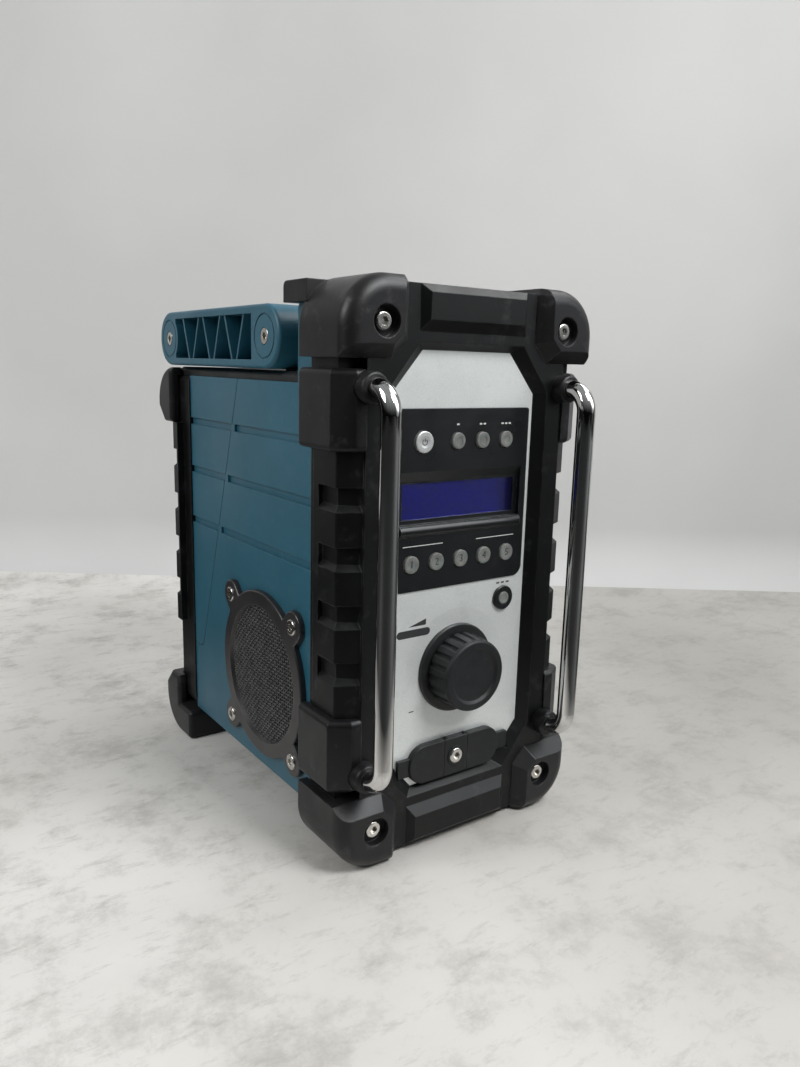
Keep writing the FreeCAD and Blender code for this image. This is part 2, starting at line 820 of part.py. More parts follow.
def handle_grip():
    end = arm_inner
    spin = [vec(-end, grip_y, pivot_z), vec(-end, grip_y, pivot_z + grip_radius + 1)]
    edges = [Part.makeLine(spin[0], spin[1]),
             Part.Arc(spin[1], vec(0, grip_y, pivot_z + grip_radius - 1), vec(end, grip_y, pivot_z + grip_radius + 1)).toShape(),
             Part.makeLine(vec(end, grip_y, pivot_z + grip_radius + 1), vec(end, grip_y, pivot_z)),
             Part.makeLine(vec(end, grip_y, pivot_z), spin[0])]
    face = Part.Face(Part.Wire(edges))
    shape = face.revolve(vec(0, grip_y, pivot_z), vec(1, 0, 0), 360)
    for side in (1, -1):
        x0 = side * end
        length = arm_thickness
        start = min(x0, x0 - side * length)
        shape = shape.cut(along_x(start - 1, start + length + 1, pivot_pin_radius + touch_gap, grip_y, pivot_z))
    return shape


def handle_bolts():
    # Two pivot bolts into the lugs and two bolts into the grip, one on each side
    bolts = []
    for y, reach in ((pivot_y, lug_thickness + fit_gap), (grip_y, arm_thickness * 0.9)):
        head = along_x(arm_outer - screw_head_height, arm_outer, screw_head_radius, y, pivot_z)
        head = round_edges(head, screw_head_height * 0.3, lambda p: near(p.x, arm_outer))
        shank = along_x(arm_inner - reach + 0.5, arm_outer - screw_head_height, pivot_pin_radius, y, pivot_z)
        corners = []
        for k in range(6):
            angle = math.radians(60 * k)
            corners.append((y + screw_socket_radius * math.cos(angle), pivot_z + screw_socket_radius * math.sin(angle)))
        socket = side_prism(corners, arm_outer - screw_socket_depth, arm_outer + 1)
        bolts.extend(both_sides(fuse([head, shank]).cut(socket)))
    return Part.makeCompound(bolts)


def speaker_screw_places():
    y = front_face + speaker_back
    half = speaker_screw_half
    return [(y + a * half, speaker_height + b * half) for a in (1, -1) for b in (1, -1)]


def speaker_ring():
    y = front_face + speaker_back
    x0 = body_half
    x1 = body_half + ring_thickness
    disc = along_x(x0, x1, ring_radius, y, speaker_height)
    ears = []
    for one, other in speaker_screw_places():
        ears.append(along_x(x0, x1, ring_ear, one, other))
        towards = vec(0, y - one, speaker_height - other).normalize()
        across = vec(0, -towards.z, towards.y)
        base = vec(0, one, other)
        corners = [base + across * ring_ear, base - across * ring_ear, base - across * ring_ear + towards * ring_ear * 1.4,
                   base + across * ring_ear + towards * ring_ear * 1.4]
        ears.append(side_prism([(c.y, c.z) for c in corners], x0, x1))
    shape = fuse([disc] + ears)
    shape = round_edges(shape, 1.0, lambda p: near(p.x, x1))
    opening = Part.makeCone(mesh_radius - 1, mesh_radius + 1, ring_thickness, vec(x0, y, speaker_height), vec(1, 0, 0))
    shape = shape.cut(opening)
    ledge = along_x(x0 - 1, x0 + mesh_thickness + touch_gap, mesh_radius + 2 + touch_gap, y, speaker_height)
    shape = shape.cut(ledge)
    for one, other in speaker_screw_places():
        shape = shape.cut(along_x(x0 - 1, x1 + 1, screw_shank_radius + touch_gap, one, other))
        shape = shape.cut(along_x(x1 - screw_head_height * 0.6, x1 + 1, screw_head_radius + touch_gap, one, other))
    return shape


def speaker_mesh():
    # Thin grille sheet, flat at its rim and slightly domed inside it
    y = front_face + speaker_back
    z = speaker_height
    x0 = body_half
    rim = mesh_radius + 2
    dome = mesh_radius - 1.5
    t = mesh_thickness
    radius = (dome * dome + mesh_dome * mesh_dome) / (2 * mesh_dome)
    rise_mid = radius - math.sqrt(radius * radius - dome * dome / 4)
    crown = mesh_dome - rise_mid
    edges = [Part.makeLine(vec(x0, y, z + rim), vec(x0, y, z + dome)),
             Part.Arc(vec(x0, y, z + dome), vec(x0 + crown, y, z + dome / 2), vec(x0 + mesh_dome, y, z)).toShape(),
             Part.makeLine(vec(x0 + mesh_dome, y, z), vec(x0 + mesh_dome + t, y, z)),
             Part.Arc(vec(x0 + mesh_dome + t, y, z), vec(x0 + crown + t, y, z + dome / 2), vec(x0 + t, y, z + dome)).toShape(),
             Part.makeLine(vec(x0 + t, y, z + dome), vec(x0 + t, y, z + rim)),
             Part.makeLine(vec(x0 + t, y, z + rim), vec(x0, y, z + rim))]
    return Part.Face(Part.Wire(edges)).revolve(vec(0, y, z), vec(1, 0, 0), 360)


def speaker_screws():
    screws = []
    x = body_half + ring_thickness - screw_head_height * 0.6
    for one, other in speaker_screw_places():
        screws.extend(both_sides(screw(x, one, other, vec(1, 0, 0))))
    return Part.makeCompound(screws)


def speaker_driver():
    # Basket, magnet and cone as one turned piece behind the housing's opening
    y = front_face + speaker_back
    x1 = body_inner
    rim = mesh_radius + 1
    profile = [(x1, rim), (x1 - 2, rim), (x1 - 2 - cone_depth, magnet_radius), (x1 - 2 - cone_depth - magnet_depth, magnet_radius),
               (x1 - 2 - cone_depth - magnet_depth, 0), (x1 - cone_depth, 0), (x1 - cone_depth, 9), (x1 - 1, rim - 5),
               (x1, rim - 5)]
    wire = outline(profile, lambda p: vec(p.x, y, speaker_height + p.y))
    return Part.Face(wire).revolve(vec(0, y, speaker_height), vec(1, 0, 0), 360)


def key_places():
    # Every push button: name, X, Z and cap radius
    places = [("power_button", power_offset, upper_row, power_radius)]
    for i, x in enumerate(upper_keys):
        places.append(("function_button_" + str(i + 1), x, upper_row, upper_radius))
    for i in range(lower_count):
        x = (i - (lower_count - 1) / 2) * lower_pitch - 0.4
        places.append(("preset_button_" + str(i + 1), x, lower_row, lower_radius))
    places.append(("auto_tune_button", tune_offset, tune_height, tune_radius))
    return places


def key_front(name):
    if name == "auto_tune_button":
        return panel_face - tune_collar_proud - key_travel * 0.6
    return display_face() - key_proud


def display_face():
    return panel_face - 0.6


def display_back():
    return display_face() + display_thickness


def front_panel():
    half = opening_half + panel_margin
    top = opening_height / 2 + panel_margin
    shape = box(-half, half, panel_face, panel_face + panel_thickness, mid_height - top, mid_height + top)
    z = knob_height
    radius = (dish_radius ** 2 + dish_depth ** 2) / (2 * dish_depth)
    ball = Part.makeSphere(radius, vec(0, panel_face - radius + dish_depth, z))
    shape = shape.cut(ball)
    window = display_outline(display_half + touch_gap, display_bottom - touch_gap, display_top + touch_gap,
                             panel_face - 1, panel_face + panel_thickness + 1)
    shape = shape.cut(window)
    shape = shape.cut(along_y(panel_face - 1, panel_face + 5, spindle_radius + fit_gap, 0, z))
    shape = shape.cut(along_y(panel_face - 1, panel_face + 5, tune_collar_radius - 1.5 + touch_gap, tune_offset, tune_height))
    half = socket_body + fit_gap
    for side in (1, -1):
        x = side * socket_offset
        shape = shape.cut(box(x - half, x + half, panel_face - 1, panel_face + panel_thickness + 1,
                              cover_height - half, cover_height + half))
    shape = shape.cut(along_y(panel_face - 1, panel_face + 5, screw_shank_radius + touch_gap, 0, cover_height))
    return shape


def display_outline(half, low, top, y0, y1):
    points = [(-half, low), (half, low), (half, top), (-half, top)]
    return front_prism(points, y0, y1, [display_round, display_round, 1.5, 1.5])


def display_bezel():
    face = display_face()
    back = display_back()
    shape = display_outline(display_half, display_bottom, display_top, face, back)
    floor = face + screen_depth
    nose = ledge_height + ledge_radius
    points = [(face - 1, recess_top), (face, recess_top), (floor, screen_top + 1), (floor, nose), (face - 1, nose)]
    recess = side_prism(points, -recess_half, recess_half)
    ledge = along_x(-recess_half, recess_half, ledge_radius, face + ledge_radius * 0.45, ledge_height)
    clip = box(-recess_half, recess_half, face - ledge_radius, back, screen_bottom - 20, screen_bottom)
    shape = fuse([shape.cut(recess), ledge.common(clip)])
    screen = box(-screen_half, screen_half, face - 1, back + 1, screen_bottom, screen_top)
    shape = shape.cut(screen)
    for name, x, z, radius in key_places():
        if name != "auto_tune_button":
            shape = shape.cut(along_y(face - 1, back + 1, radius + key_gap, x, z))
    return shape


def display_lens():
    y0 = display_face() + screen_depth + touch_gap
    return box(-screen_half + touch_gap, screen_half - touch_gap, y0, display_back(),
               screen_bottom + touch_gap, screen_top - touch_gap)


def display_module():
    y0 = display_back() + touch_gap
    return box(-screen_half - module_margin, screen_half + module_margin, y0, control_board_face() - touch_gap,
               screen_bottom - module_margin, screen_top + module_margin)


def control_board_face():
    return display_back() + board_setback


def key(name, x, z, radius):
    front = key_front(name)
    flange_front = display_back() + fit_gap
    rear = control_board_face() - key_travel - fit_gap
    cap = along_y(front, rear, radius, x, z)
    cap = round_edges(cap, 0.6, lambda p: near(p.y, front))
    if name == "auto_tune_button":
        flange_front = panel_face + panel_thickness + fit_gap
    flange = along_y(flange_front, flange_front + key_flange, radius + key_flange, x, z)
    dish = Part.makeSphere(radius * 2.6, vec(x, front - radius * 2.6 + 0.35, z))
    return fuse([cap, flange]).cut(dish)


def tune_collar():
    y0 = panel_face - tune_collar_proud
    rim = along_y(y0, panel_face, tune_collar_radius, tune_offset, tune_height)
    rim = round_edges(rim, 0.7, lambda p: near(p.y, y0))
    stem = along_y(panel_face - 1, panel_face + panel_thickness, tune_collar_radius - 1.5, tune_offset, tune_height)
    bore = along_y(y0 - 1, panel_face + 5, tune_radius + key_gap, tune_offset, tune_height)
    return fuse([rim, stem]).cut(bore)


def control_board():
    y0 = control_board_face()
    low = knob_height - board_drop
    board = box(-display_half, display_half, y0, y0 + board_thickness, low, display_top - 2)
    board = board.cut(along_y(y0 - 1, y0 + 5, spindle_radius + 2, 0, knob_height))
    return board


def encoder():
    # Turning and pressing part of the volume control, held on the control board
    y0 = panel_face + panel_thickness + fit_gap
    half = encoder_half
    body = box(-half, half, y0, control_board_face(), knob_height - half, knob_height + half)
    tail = along_y(control_board_face() - 1, control_board_face() + board_thickness + 1, spindle_radius + 1.6, 0, knob_height)
    bore = along_y(y0 - 1, control_board_face() + 0.5, spindle_radius + running_gap, 0, knob_height)
    return fuse([body, tail]).cut(bore)


def knob_back():
    return disc_front() - push_travel - fit_gap


def disc_front():
    return panel_face - disc_thickness + dish_depth * 0.5


def knob_disc():
    # Flat black disc that the knob stands over
    y1 = panel_face + dish_depth * 0.5
    shape = along_y(disc_front(), y1, disc_radius, 0, knob_height)
    shape = round_edges(shape, 0.8, lambda p: near(p.y, disc_front()))
    radius = (dish_radius ** 2 + dish_depth ** 2) / (2 * dish_depth)
    floor = Part.makeSphere(radius, vec(0, panel_face - radius + dish_depth, knob_height))
    shape = shape.common(floor)
    return shape.cut(along_y(disc_front() - 1, y1 + 3, spindle_radius + fit_gap, 0, knob_height))


def knob():
    y1 = knob_back()
    y0 = y1 - knob_length
    wide = knob_radius + knob_taper
    profile = [(0, y0 + knob_dish), (knob_radius * 0.72, y0 + knob_dish), (knob_radius * 0.8, y0), (knob_radius, y0),
               (wide, y1), (0, y1)]
    wire = outline(profile, lambda p: vec(p.x, p.y, knob_height), [0, 0, 0.8, 1.6, 0.6, 0])
    shape = Part.Face(wire).revolve(vec(0, 0, knob_height), vec(0, 1, 0), 360)
    for i in range(knob_flutes):
        angle = 2 * math.pi * i / knob_flutes
        front_at = knob_radius + flute_radius * 0.35
        back_at = wide + flute_radius * 0.35
        a = vec(front_at * math.cos(angle), y0 + 2.5, knob_height + front_at * math.sin(angle))
        b = vec(back_at * math.cos(angle), y1 + 0.5, knob_height + back_at * math.sin(angle))
        flute = Part.makeCylinder(flute_radius, a.distanceToPoint(b), a, b - a)
        shape = shape.cut(flute)
    bore = along_y(y0 + knob_dish + 3, y1 + 1, spindle_radius + running_gap, 0, knob_height)
    return shape.cut(bore)


def knob_spindle():
    y0 = knob_back() - knob_length + knob_dish + 3 + fit_gap
    y1 = control_board_face() + 0.5 - push_travel - touch_gap
    return along_y(y0, y1, spindle_radius, 0, knob_height)


def cover_slab(y0, y1):
    # Stadium pad with a square tab at each end
    r = cover_half_height
    points = [(-cover_half, cover_height - r), (cover_half, cover_height - r), (cover_half, cover_height + r),
              (-cover_half, cover_height + r)]
    pad = front_prism(points, y0, y1, [r * 0.95] * 4)
    pad = round_edges(pad, 1.0, lambda p: near(p.y, y0))
    tabs = box(-tab_half, tab_half, y0 + 1.2, y1, cover_height - tab_half_height, cover_height + tab_half_height)
    return fuse([pad, tabs])


def cover_front():
    return panel_face - cover_thickness - touch_gap


def socket_cover():
    y0 = cover_front()
    slab = cover_slab(y0, panel_face)
    strip = slab.common(box(-cover_strip, cover_strip, y0 - 1, panel_face, 0, overall_height))
    boss = along_y(y0 - 0.6, y0 + 1, screw_head_radius + 1.2, 0, cover_height)
    strip = fuse([strip, boss])
    sink = along_y(y0 - 1, y0 + screw_head_height - 0.8, screw_head_radius + touch_gap, 0, cover_height)
    hole = along_y(y0 - 1, panel_face + 1, screw_shank_radius + touch_gap, 0, cover_height)
    return strip.cut(sink).cut(hole)


def socket_flap(side):
    y0 = cover_front()
    slab = cover_slab(y0, panel_face - fit_gap)
    x0, x1 = sorted((side * (cover_strip + fit_gap), side * (tab_half + 1)))
    return slab.common(box(x0, x1, y0 - 1, panel_face, 0, overall_height))


def sockets():
    pieces = []
    y0 = panel_face
    for side, radius, pin in ((-1, aux_radius, 0), (1, dc_radius, dc_pin_radius)):
        x = side * socket_offset
        body = box(x - socket_body, x + socket_body, y0, y0 + socket_length, cover_height - socket_body,
                   cover_height + socket_body)
        body = body.cut(along_y(y0 - 1, y0 + socket_length - 2, radius, x, cover_height))
        if pin:
            body = fuse([body, along_y(y0 + 1, y0 + socket_length - 1, pin, x, cover_height)])
        pieces.append(body)
    margin = socket_board_margin
    board = box(-socket_offset - margin, socket_offset + margin, y0 + socket_length, y0 + socket_length + board_thickness,
                cover_height - margin, cover_height + margin)
    return Part.makeCompound([fuse(pieces + [board])])


def front_screws():
    screws = []
    for x, z in bumper_screw_places():
        screws.append(screw(x, front_face + bumper_screw_depth, z, vec(0, -1, 0)))
    screws.append(screw(0, cover_front() + screw_head_height - 0.8, cover_height, vec(0, -1, 0)))
    return Part.makeCompound(screws)


def main_board():
    y0 = frame_back + main_board_back
    half = body_inner - main_board_inset
    top = deck_edge - main_board_back
    return box(-half, half, y0, y0 + board_thickness, ground_gap + body_wall, top)


def leaning_box(half, depth0, depth1, length0, length1):
    # Box that leans like the bay wall; depths are square to it and lengths run up it from the foot
    foot = seam_at(seam_foot_height, seam_gap)
    lean = math.degrees(math.atan(seam_slope()))
    shape = box(-half, half, depth0, depth1, length0, length1)
    shape.Placement = FreeCAD.Placement(vec(0, foot[0], foot[1]), FreeCAD.Rotation(vec(1, 0, 0), lean))
    return shape


def battery_start():
    # Distance up the leaning bay wall at which the pack stands
    lean = math.atan(seam_slope())
    return (deck_edge - seam_foot_height) / math.cos(lean) - battery_top_gap - battery_length


def battery_terminal():
    wall = body_wall
    start = battery_start() + terminal_rise
    return leaning_box(battery_width * 0.35, wall, wall + terminal_depth, start,
                       start + terminal_length)


def battery_pack():
    wall = body_wall + terminal_depth
    start = battery_start()
    shape = leaning_box(battery_width / 2, wall, wall + battery_depth, start, start + battery_length)
    return shape.makeFillet(3, shape.Edges)


def battery_door():
    y1 = rear_plate
    y0 = rear_plate - door_thickness
    half = door_half - fit_gap
    shape = box(-half, half, y0, y1, door_bottom + fit_gap, door_top - fit_gap)
    for k in range(3):
        z = door_bottom + (door_top - door_bottom) * (k + 1) / 4
        shape = shape.cut(box(-half + 8, half - 8, y1 - 1, y1 + 1, z - door_rib, z + door_rib))
    notch = box(-latch_half - fit_gap, latch_half + fit_gap, y0 - 1, y1 + 1, door_top - latch_height - fit_gap,
                door_top + 1)
    shape = shape.cut(notch)
    hinge_y, hinge_z = door_hinge()
    x0 = frame_knuckles()[0][1] + fit_gap
    x1 = frame_knuckles()[1][0] - fit_gap
    barrel = along_x(x0, x1, hinge_radius, hinge_y, hinge_z)
    leaf = box(x0, x1, rear_plate, hinge_y + 1, hinge_z + 0.5, door_bottom + 4)
    leaf = leaf.cut(box(x0, x1, rear_plate, rear_plate + fit_gap, hinge_z, door_bottom + fit_gap))
    shape = fuse([shape, barrel, leaf])
    return shape.cut(along_x(-door_half, door_half, hinge_pin_radius + running_gap, hinge_y, hinge_z))


def hinge_pin():
    hinge_y, hinge_z = door_hinge()
    x0 = frame_knuckles()[0][0]
    x1 = frame_knuckles()[1][1]
    return along_x(x0, x1, hinge_pin_radius, hinge_y, hinge_z)


def door_latch():
    # Sliding catch at the door's top edge, drawn at its released end
    y0 = rear_plate - door_thickness
    top = door_top - fit_gap
    low = door_top - latch_height
    slider = box(-latch_half, latch_half, y0, rear_plate, low, top - latch_travel - fit_gap)
    tongue = box(-latch_half + 2, latch_half - 2, y0 + touch_gap, y0 + door_thickness / 2 - fit_gap, low, top)
    grip = box(-latch_half + 2, latch_half - 2, rear_plate - 1, rear_plate + 2, low + 3, low + 6)
    return fuse([slider, tongue, grip])


def antenna_socket():
    x = arm_inner - lug_thickness * 2.2
    y = tower_back + antenna_back
    top = deck_top + antenna_height
    base = along_z(deck_top, top, antenna_radius, x, y)
    base = round_edges(base, antenna_radius / 4, lambda p: near(p.z, top))
    return base.cut(along_z(deck_top + antenna_floor, top + 1, antenna_bore, x, y))


os.makedirs("parts", exist_ok=True)

save("front_frame", front_frame())
save("bumper_top_right", bumper(True))
save("bumper_top_left", left_of(bumper(True)))
save("bumper_bottom_right", below(bumper(False)))
save("bumper_bottom_left", left_of(below(bumper(False))))
save("bar_block_top_right", block())
save("bar_block_top_left", left_of(block()))
save("bar_block_bottom_right", below(block()))
save("bar_block_bottom_left", left_of(below(block())))
save("guard_bar_right", guard_bar())
save("guard_bar_left", left_of(guard_bar()))
save("bar_collars", bar_collars())
save("front_screws", front_screws())
save("front_housing", front_housing())
save("rear_housing", rear_housing())
save("rear_frame", rear_frame())
save("rear_bumper_top_right", rear_bumper(False))
save("rear_bumper_top_left", left_of(rear_bumper(False)))
save("rear_foot_right", rear_bumper(True))
save("rear_foot_left", left_of(rear_bumper(True)))
save("top_deck", top_deck())
save("antenna_socket", antenna_socket())
save("handle_arm_right", handle_arm())
save("handle_arm_left", left_of(handle_arm()))
save("handle_grip", handle_grip())
save("handle_bolts", handle_bolts())
save("speaker_ring_right", speaker_ring())
save("speaker_ring_left", left_of(speaker_ring()))
save("speaker_mesh_right", speaker_mesh())
save("speaker_mesh_left", left_of(speaker_mesh()))
save("speaker_screws", speaker_screws())
save("speaker_drivers", Part.makeCompound(both_sides(speaker_driver())))
save("front_panel", front_panel())
save("display_bezel", display_bezel())
save("display_lens", display_lens())
save("display_module", display_module())
save("auto_tune_collar", tune_collar())
save("circuit_boards", Part.makeCompound([control_board(), encoder(), main_board()]))
save("knob_disc", knob_disc())
save("knob", knob())
save("knob_spindle", knob_spindle())
save("socket_cover", socket_cover())
save("socket_flap_left", socket_flap(-1))
save("socket_flap_right", socket_flap(1))
save("sockets", sockets())
save("battery_terminal", battery_terminal())
save("battery_pack", battery_pack())
save("battery_door", battery_door())
save("door_hinge_pin", hinge_pin())
save("door_latch", door_latch())
for name, x, z, radius in key_places():
    save(name, key(name, x, z, radius))
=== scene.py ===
import bpy
import math
from mathutils import Matrix, Vector


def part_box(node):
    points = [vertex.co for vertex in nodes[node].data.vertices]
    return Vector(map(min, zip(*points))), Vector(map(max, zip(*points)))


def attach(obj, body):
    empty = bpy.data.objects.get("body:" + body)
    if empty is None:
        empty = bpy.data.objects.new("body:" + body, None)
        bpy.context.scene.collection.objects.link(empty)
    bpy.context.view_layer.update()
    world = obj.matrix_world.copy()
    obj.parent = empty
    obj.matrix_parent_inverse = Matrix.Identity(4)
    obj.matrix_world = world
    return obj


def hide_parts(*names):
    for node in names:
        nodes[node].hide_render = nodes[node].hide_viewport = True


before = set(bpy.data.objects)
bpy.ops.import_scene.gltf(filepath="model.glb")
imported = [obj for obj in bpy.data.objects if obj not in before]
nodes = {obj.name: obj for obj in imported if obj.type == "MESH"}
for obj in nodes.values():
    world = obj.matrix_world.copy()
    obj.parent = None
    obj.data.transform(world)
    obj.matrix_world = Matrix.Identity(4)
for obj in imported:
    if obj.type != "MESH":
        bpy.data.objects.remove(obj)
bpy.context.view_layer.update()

scene = bpy.context.scene
scene.view_settings.view_transform = "Standard"


# Small helpers

def hexColour(code):
    # sRGB hex to the linear colour that the shaders take
    parts = [int(code[i:i + 2], 16) / 255 for i in (1, 3, 5)]
    linear = [c / 12.92 if c <= 0.04045 else ((c + 0.055) / 1.055) ** 2.4 for c in parts]
    return (*linear, 1.0)


def addNode(tree, kind, settings=None, links=None):
    made = tree.nodes.new("ShaderNode" + kind)
    for key, value in (settings or {}).items():
        if isinstance(key, int) or key in made.inputs:
            made.inputs[key].default_value = value
        else:
            setattr(made, key, value)
    for key, source in (links or {}).items():
        tree.links.new(source, made.inputs[key])
    return made


def startFinish(name, shaderSettings):
    finish = bpy.data.materials.new(name)
    finish.use_nodes = True
    shader = finish.node_tree.nodes["Principled BSDF"]
    for key, value in shaderSettings.items():
        shader.inputs[key].default_value = value
    where = addNode(finish.node_tree, "TexCoord").outputs["Object"]
    return finish, finish.node_tree, shader, where


def softNoise(tree, where, sizeMm, detail=4.0, roughness=0.55):
    # Object coordinates are metres, so the scale is patches per metre
    return addNode(tree, "TexNoise", {"Scale": 1000 / sizeMm, "Detail": detail, "Roughness": roughness},
                   {"Vector": where}).outputs["Fac"]


def spread(tree, value, fromLow, fromHigh, low, high):
    return addNode(tree, "MapRange", {1: fromLow, 2: fromHigh, 3: low, 4: high}, {0: value}).outputs["Result"]


def blend(tree, amount, first, second):
    # Colour mix; either side is a hex colour or a socket
    made = addNode(tree, "Mix", {"data_type": "RGBA"}, {0: amount})
    for index, side in ((6, first), (7, second)):
        if isinstance(side, str):
            made.inputs[index].default_value = hexColour(side)
        else:
            tree.links.new(side, made.inputs[index])
    return made.outputs[2]


def edgeMask(tree, radiusMm):
    # Bright on outer and inner edges, from how far a rounded normal leans from the flat one
    rounded = addNode(tree, "Bevel", {"samples": 4, "Radius": radiusMm / 1000}).outputs["Normal"]
    flat = addNode(tree, "NewGeometry").outputs["Normal"]
    dot = addNode(tree, "VectorMath", {"operation": "DOT_PRODUCT"}, {0: rounded, 1: flat}).outputs["Value"]
    return rounded, spread(tree, dot, 0.99, 0.8, 0.0, 1.0)


def mouldedFinish(name, look):
    # Shared recipe of the moulded plastics and rubbers: patchy colour, grain, rubbed edges
    finish, tree, shader, where = startFinish(name, look["shader"])
    patch = spread(tree, softNoise(tree, where, look["patchMm"]), 0.35, 0.65, 0.0, 1.0)
    colour = blend(tree, patch, look["colour"], look["patchColour"])
    dust = spread(tree, softNoise(tree, where, look["dustMm"], 6.0, 0.7), 0.56, 0.78, 0.0, look["dust"])
    colour = blend(tree, dust, colour, look["dustColour"])
    rounded, edges = edgeMask(tree, look["edgeMm"])
    touched = spread(tree, softNoise(tree, where, 9.0), 0.4, 0.62, 0.0, look["rub"])
    rubbed = addNode(tree, "Math", {"operation": "MULTIPLY"}, {0: edges, 1: touched}).outputs[0]
    colour = blend(tree, rubbed, colour, look["rubColour"])
    tree.links.new(colour, shader.inputs["Base Color"])
    smudge = softNoise(tree, where, look["smudgeMm"], 5.0)
    rough = spread(tree, smudge, 0.3, 0.7, look["roughLow"], look["roughHigh"])
    tree.links.new(rough, shader.inputs["Roughness"])
    grain = softNoise(tree, where, look["grainMm"], 2.0, 0.5)
    bump = addNode(tree, "Bump", {"Strength": look["grainStrength"], "Distance": look["grainMm"] * 0.0004},
                   {"Height": grain, "Normal": rounded})
    tree.links.new(bump.outputs["Normal"], shader.inputs["Normal"])
    return finish


def wear(*names, finish):
    for name in names:
        for slot in nodes[name].material_slots:
            slot.material = finish


def meshPiece(name, verts, faces, finish, body, smooth=False):
    mesh = bpy.data.meshes.new(name)
    mesh.from_pydata(verts, [], faces)
    mesh.update()
    mesh.materials.append(finish)
    for face in mesh.polygons:
        face.use_smooth = smooth
    piece = bpy.data.objects.new(name, mesh)
    scene.collection.objects.link(piece)
    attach(piece, body)
    return piece


def centreOf(node):
    low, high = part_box(node)
    return [(low[i] + high[i]) / 2 for i in range(3)]


# Camera

cameraSetup = {
    "place": (-0.2843, -0.4391, 0.2600),
    "yaw": 35.76, "pitch": 11.33, "roll": -1.51,   # degrees
    "focalPixels": 839.2, "frameHeight": 1067,
}


def makeCamera():
    yaw, pitch, roll = (math.radians(cameraSetup[k]) for k in ("yaw", "pitch", "roll"))
    ahead = Vector((math.sin(yaw) * math.cos(pitch), math.cos(yaw) * math.cos(pitch), -math.sin(pitch)))
    level = Vector((math.cos(yaw), -math.sin(yaw), 0))
    down = ahead.cross(level)
    right = math.cos(roll) * level + math.sin(roll) * down
    down = -math.sin(roll) * level + math.cos(roll) * down
    turned = Matrix((right, -down, -ahead)).transposed().to_4x4()
    camera = bpy.data.cameras.new("photoCamera")
    holder = bpy.data.objects.new("photoCamera", camera)
    scene.collection.objects.link(holder)
    holder.matrix_world = Matrix.Translation(cameraSetup["place"]) @ turned
    camera.sensor_fit = "AUTO"
    camera.sensor_width = 36
    camera.lens = cameraSetup["focalPixels"] * 36 / cameraSetup["frameHeight"]
    scene.camera = holder
    return yaw


viewYaw = makeCamera()
print("camera placed")


# Floor, backdrop and light

studio = {
    "wallDistance": 1.02,     # metres from the camera, square to its view
    "sweepRadius": 0.07, "sweepHalf": 3.0, "sweepSteps": 12, "floorFaces": 4,
    "litRadius": 0.19, "litFade": 0.14, "unlitColour": "#121212",
    # The stain colour here serves the real stains and scuffs and also the painted shade towards the camera's
    # right
    "floorColour": "#e6e4e0", "floorPatch": "#cfccc7", "floorStainAndShade": "#8f8c86",
    "wallColour": "#d4d4d3", "wallPatch": "#cacac9",
    "worldTop": "#e6eaec", "worldLow": "#101011", "worldStrength": 0.5,
    "overheadZone": {"aim": (0.645, -0.42, 0.64), "edge": 0.8, "core": 0.93, "strength": 6.0},
    "windowZone": {"aim": (0.62, -0.72, 0.34), "edge": 0.9, "core": 0.98, "strength": 0.6},
    "keyPlace": (0.2, -0.7, 0.95), "keyPower": 9.0, "keySize": 0.4,
    "sidePlace": (-1.2, 0.1, 0.95), "sidePower": 9.5, "sideSize": 0.6,
    "topPlace": (0.85, 0.1, 1.15), "topPower": 10.0, "topSize": 0.6,
    "lampAim": (0, 0, 0.14),
}


def darkFarReflection(tree, where, colour):
    # In reflections the floor fades into an unlit room, away from the radio
    away = addNode(tree, "VectorMath", {"operation": "LENGTH"}, {0: where}).outputs["Value"]
    far = spread(tree, away, studio["litRadius"], studio["litRadius"] + studio["litFade"], 0.0, 1.0)
    glossy = addNode(tree, "LightPath").outputs["Is Glossy Ray"]
    amount = addNode(tree, "Math", {"operation": "MULTIPLY"}, {0: far, 1: glossy}).outputs[0]
    return blend(tree, amount, colour, studio["unlitColour"])


def paleFloorFinish():
    # Painted screed, rolled and scuffed: pale, patchy, with a few grey stains, and painted shade that darkens it
    # towards the camera's right
    finish, tree, shader, where = startFinish("paleScuffedFloor", {
        "Roughness": 0.62, "Specular IOR Level": 0.3})
    patch = spread(tree, softNoise(tree, where, 240.0, 6.0), 0.35, 0.65, 0.0, 1.0)
    colour = blend(tree, patch, studio["floorColour"], studio["floorPatch"])
    stain = spread(tree, softNoise(tree, where, 60.0, 9.0, 0.78), 0.5, 0.64, 0.0, 0.4)
    colour = blend(tree, stain, colour, studio["floorStainAndShade"])
    drawn = addNode(tree, "Mapping", {"Scale": (1.0, 3.0, 1.0), "Rotation": (0, 0, viewYaw)},
                    {0: where}).outputs[0]
    scuff = spread(tree, softNoise(tree, drawn, 30.0, 9.0, 0.75), 0.54, 0.64, 0.0, 0.3)
    colour = blend(tree, scuff, colour, studio["floorStainAndShade"])
    # Painted shade: the floor's colour grows darker along the camera's level axis, towards its right, standing in
    # for less light falling there
    across = addNode(tree, "VectorMath", {"operation": "DOT_PRODUCT"}, {0: where})
    across.inputs[1].default_value = (math.cos(viewYaw), -math.sin(viewYaw), 0)
    paintedShadeRight = spread(tree, across.outputs["Value"], -0.15, 0.25, 0.0, 0.55)
    colour = blend(tree, paintedShadeRight, colour, studio["floorStainAndShade"])
    tree.links.new(darkFarReflection(tree, where, colour), shader.inputs["Base Color"])
    bump = addNode(tree, "Bump", {"Strength": 0.12, "Distance": 0.001},
                   {"Height": softNoise(tree, where, 6.0, 5.0)})
    tree.links.new(bump.outputs["Normal"], shader.inputs["Normal"])
    return finish


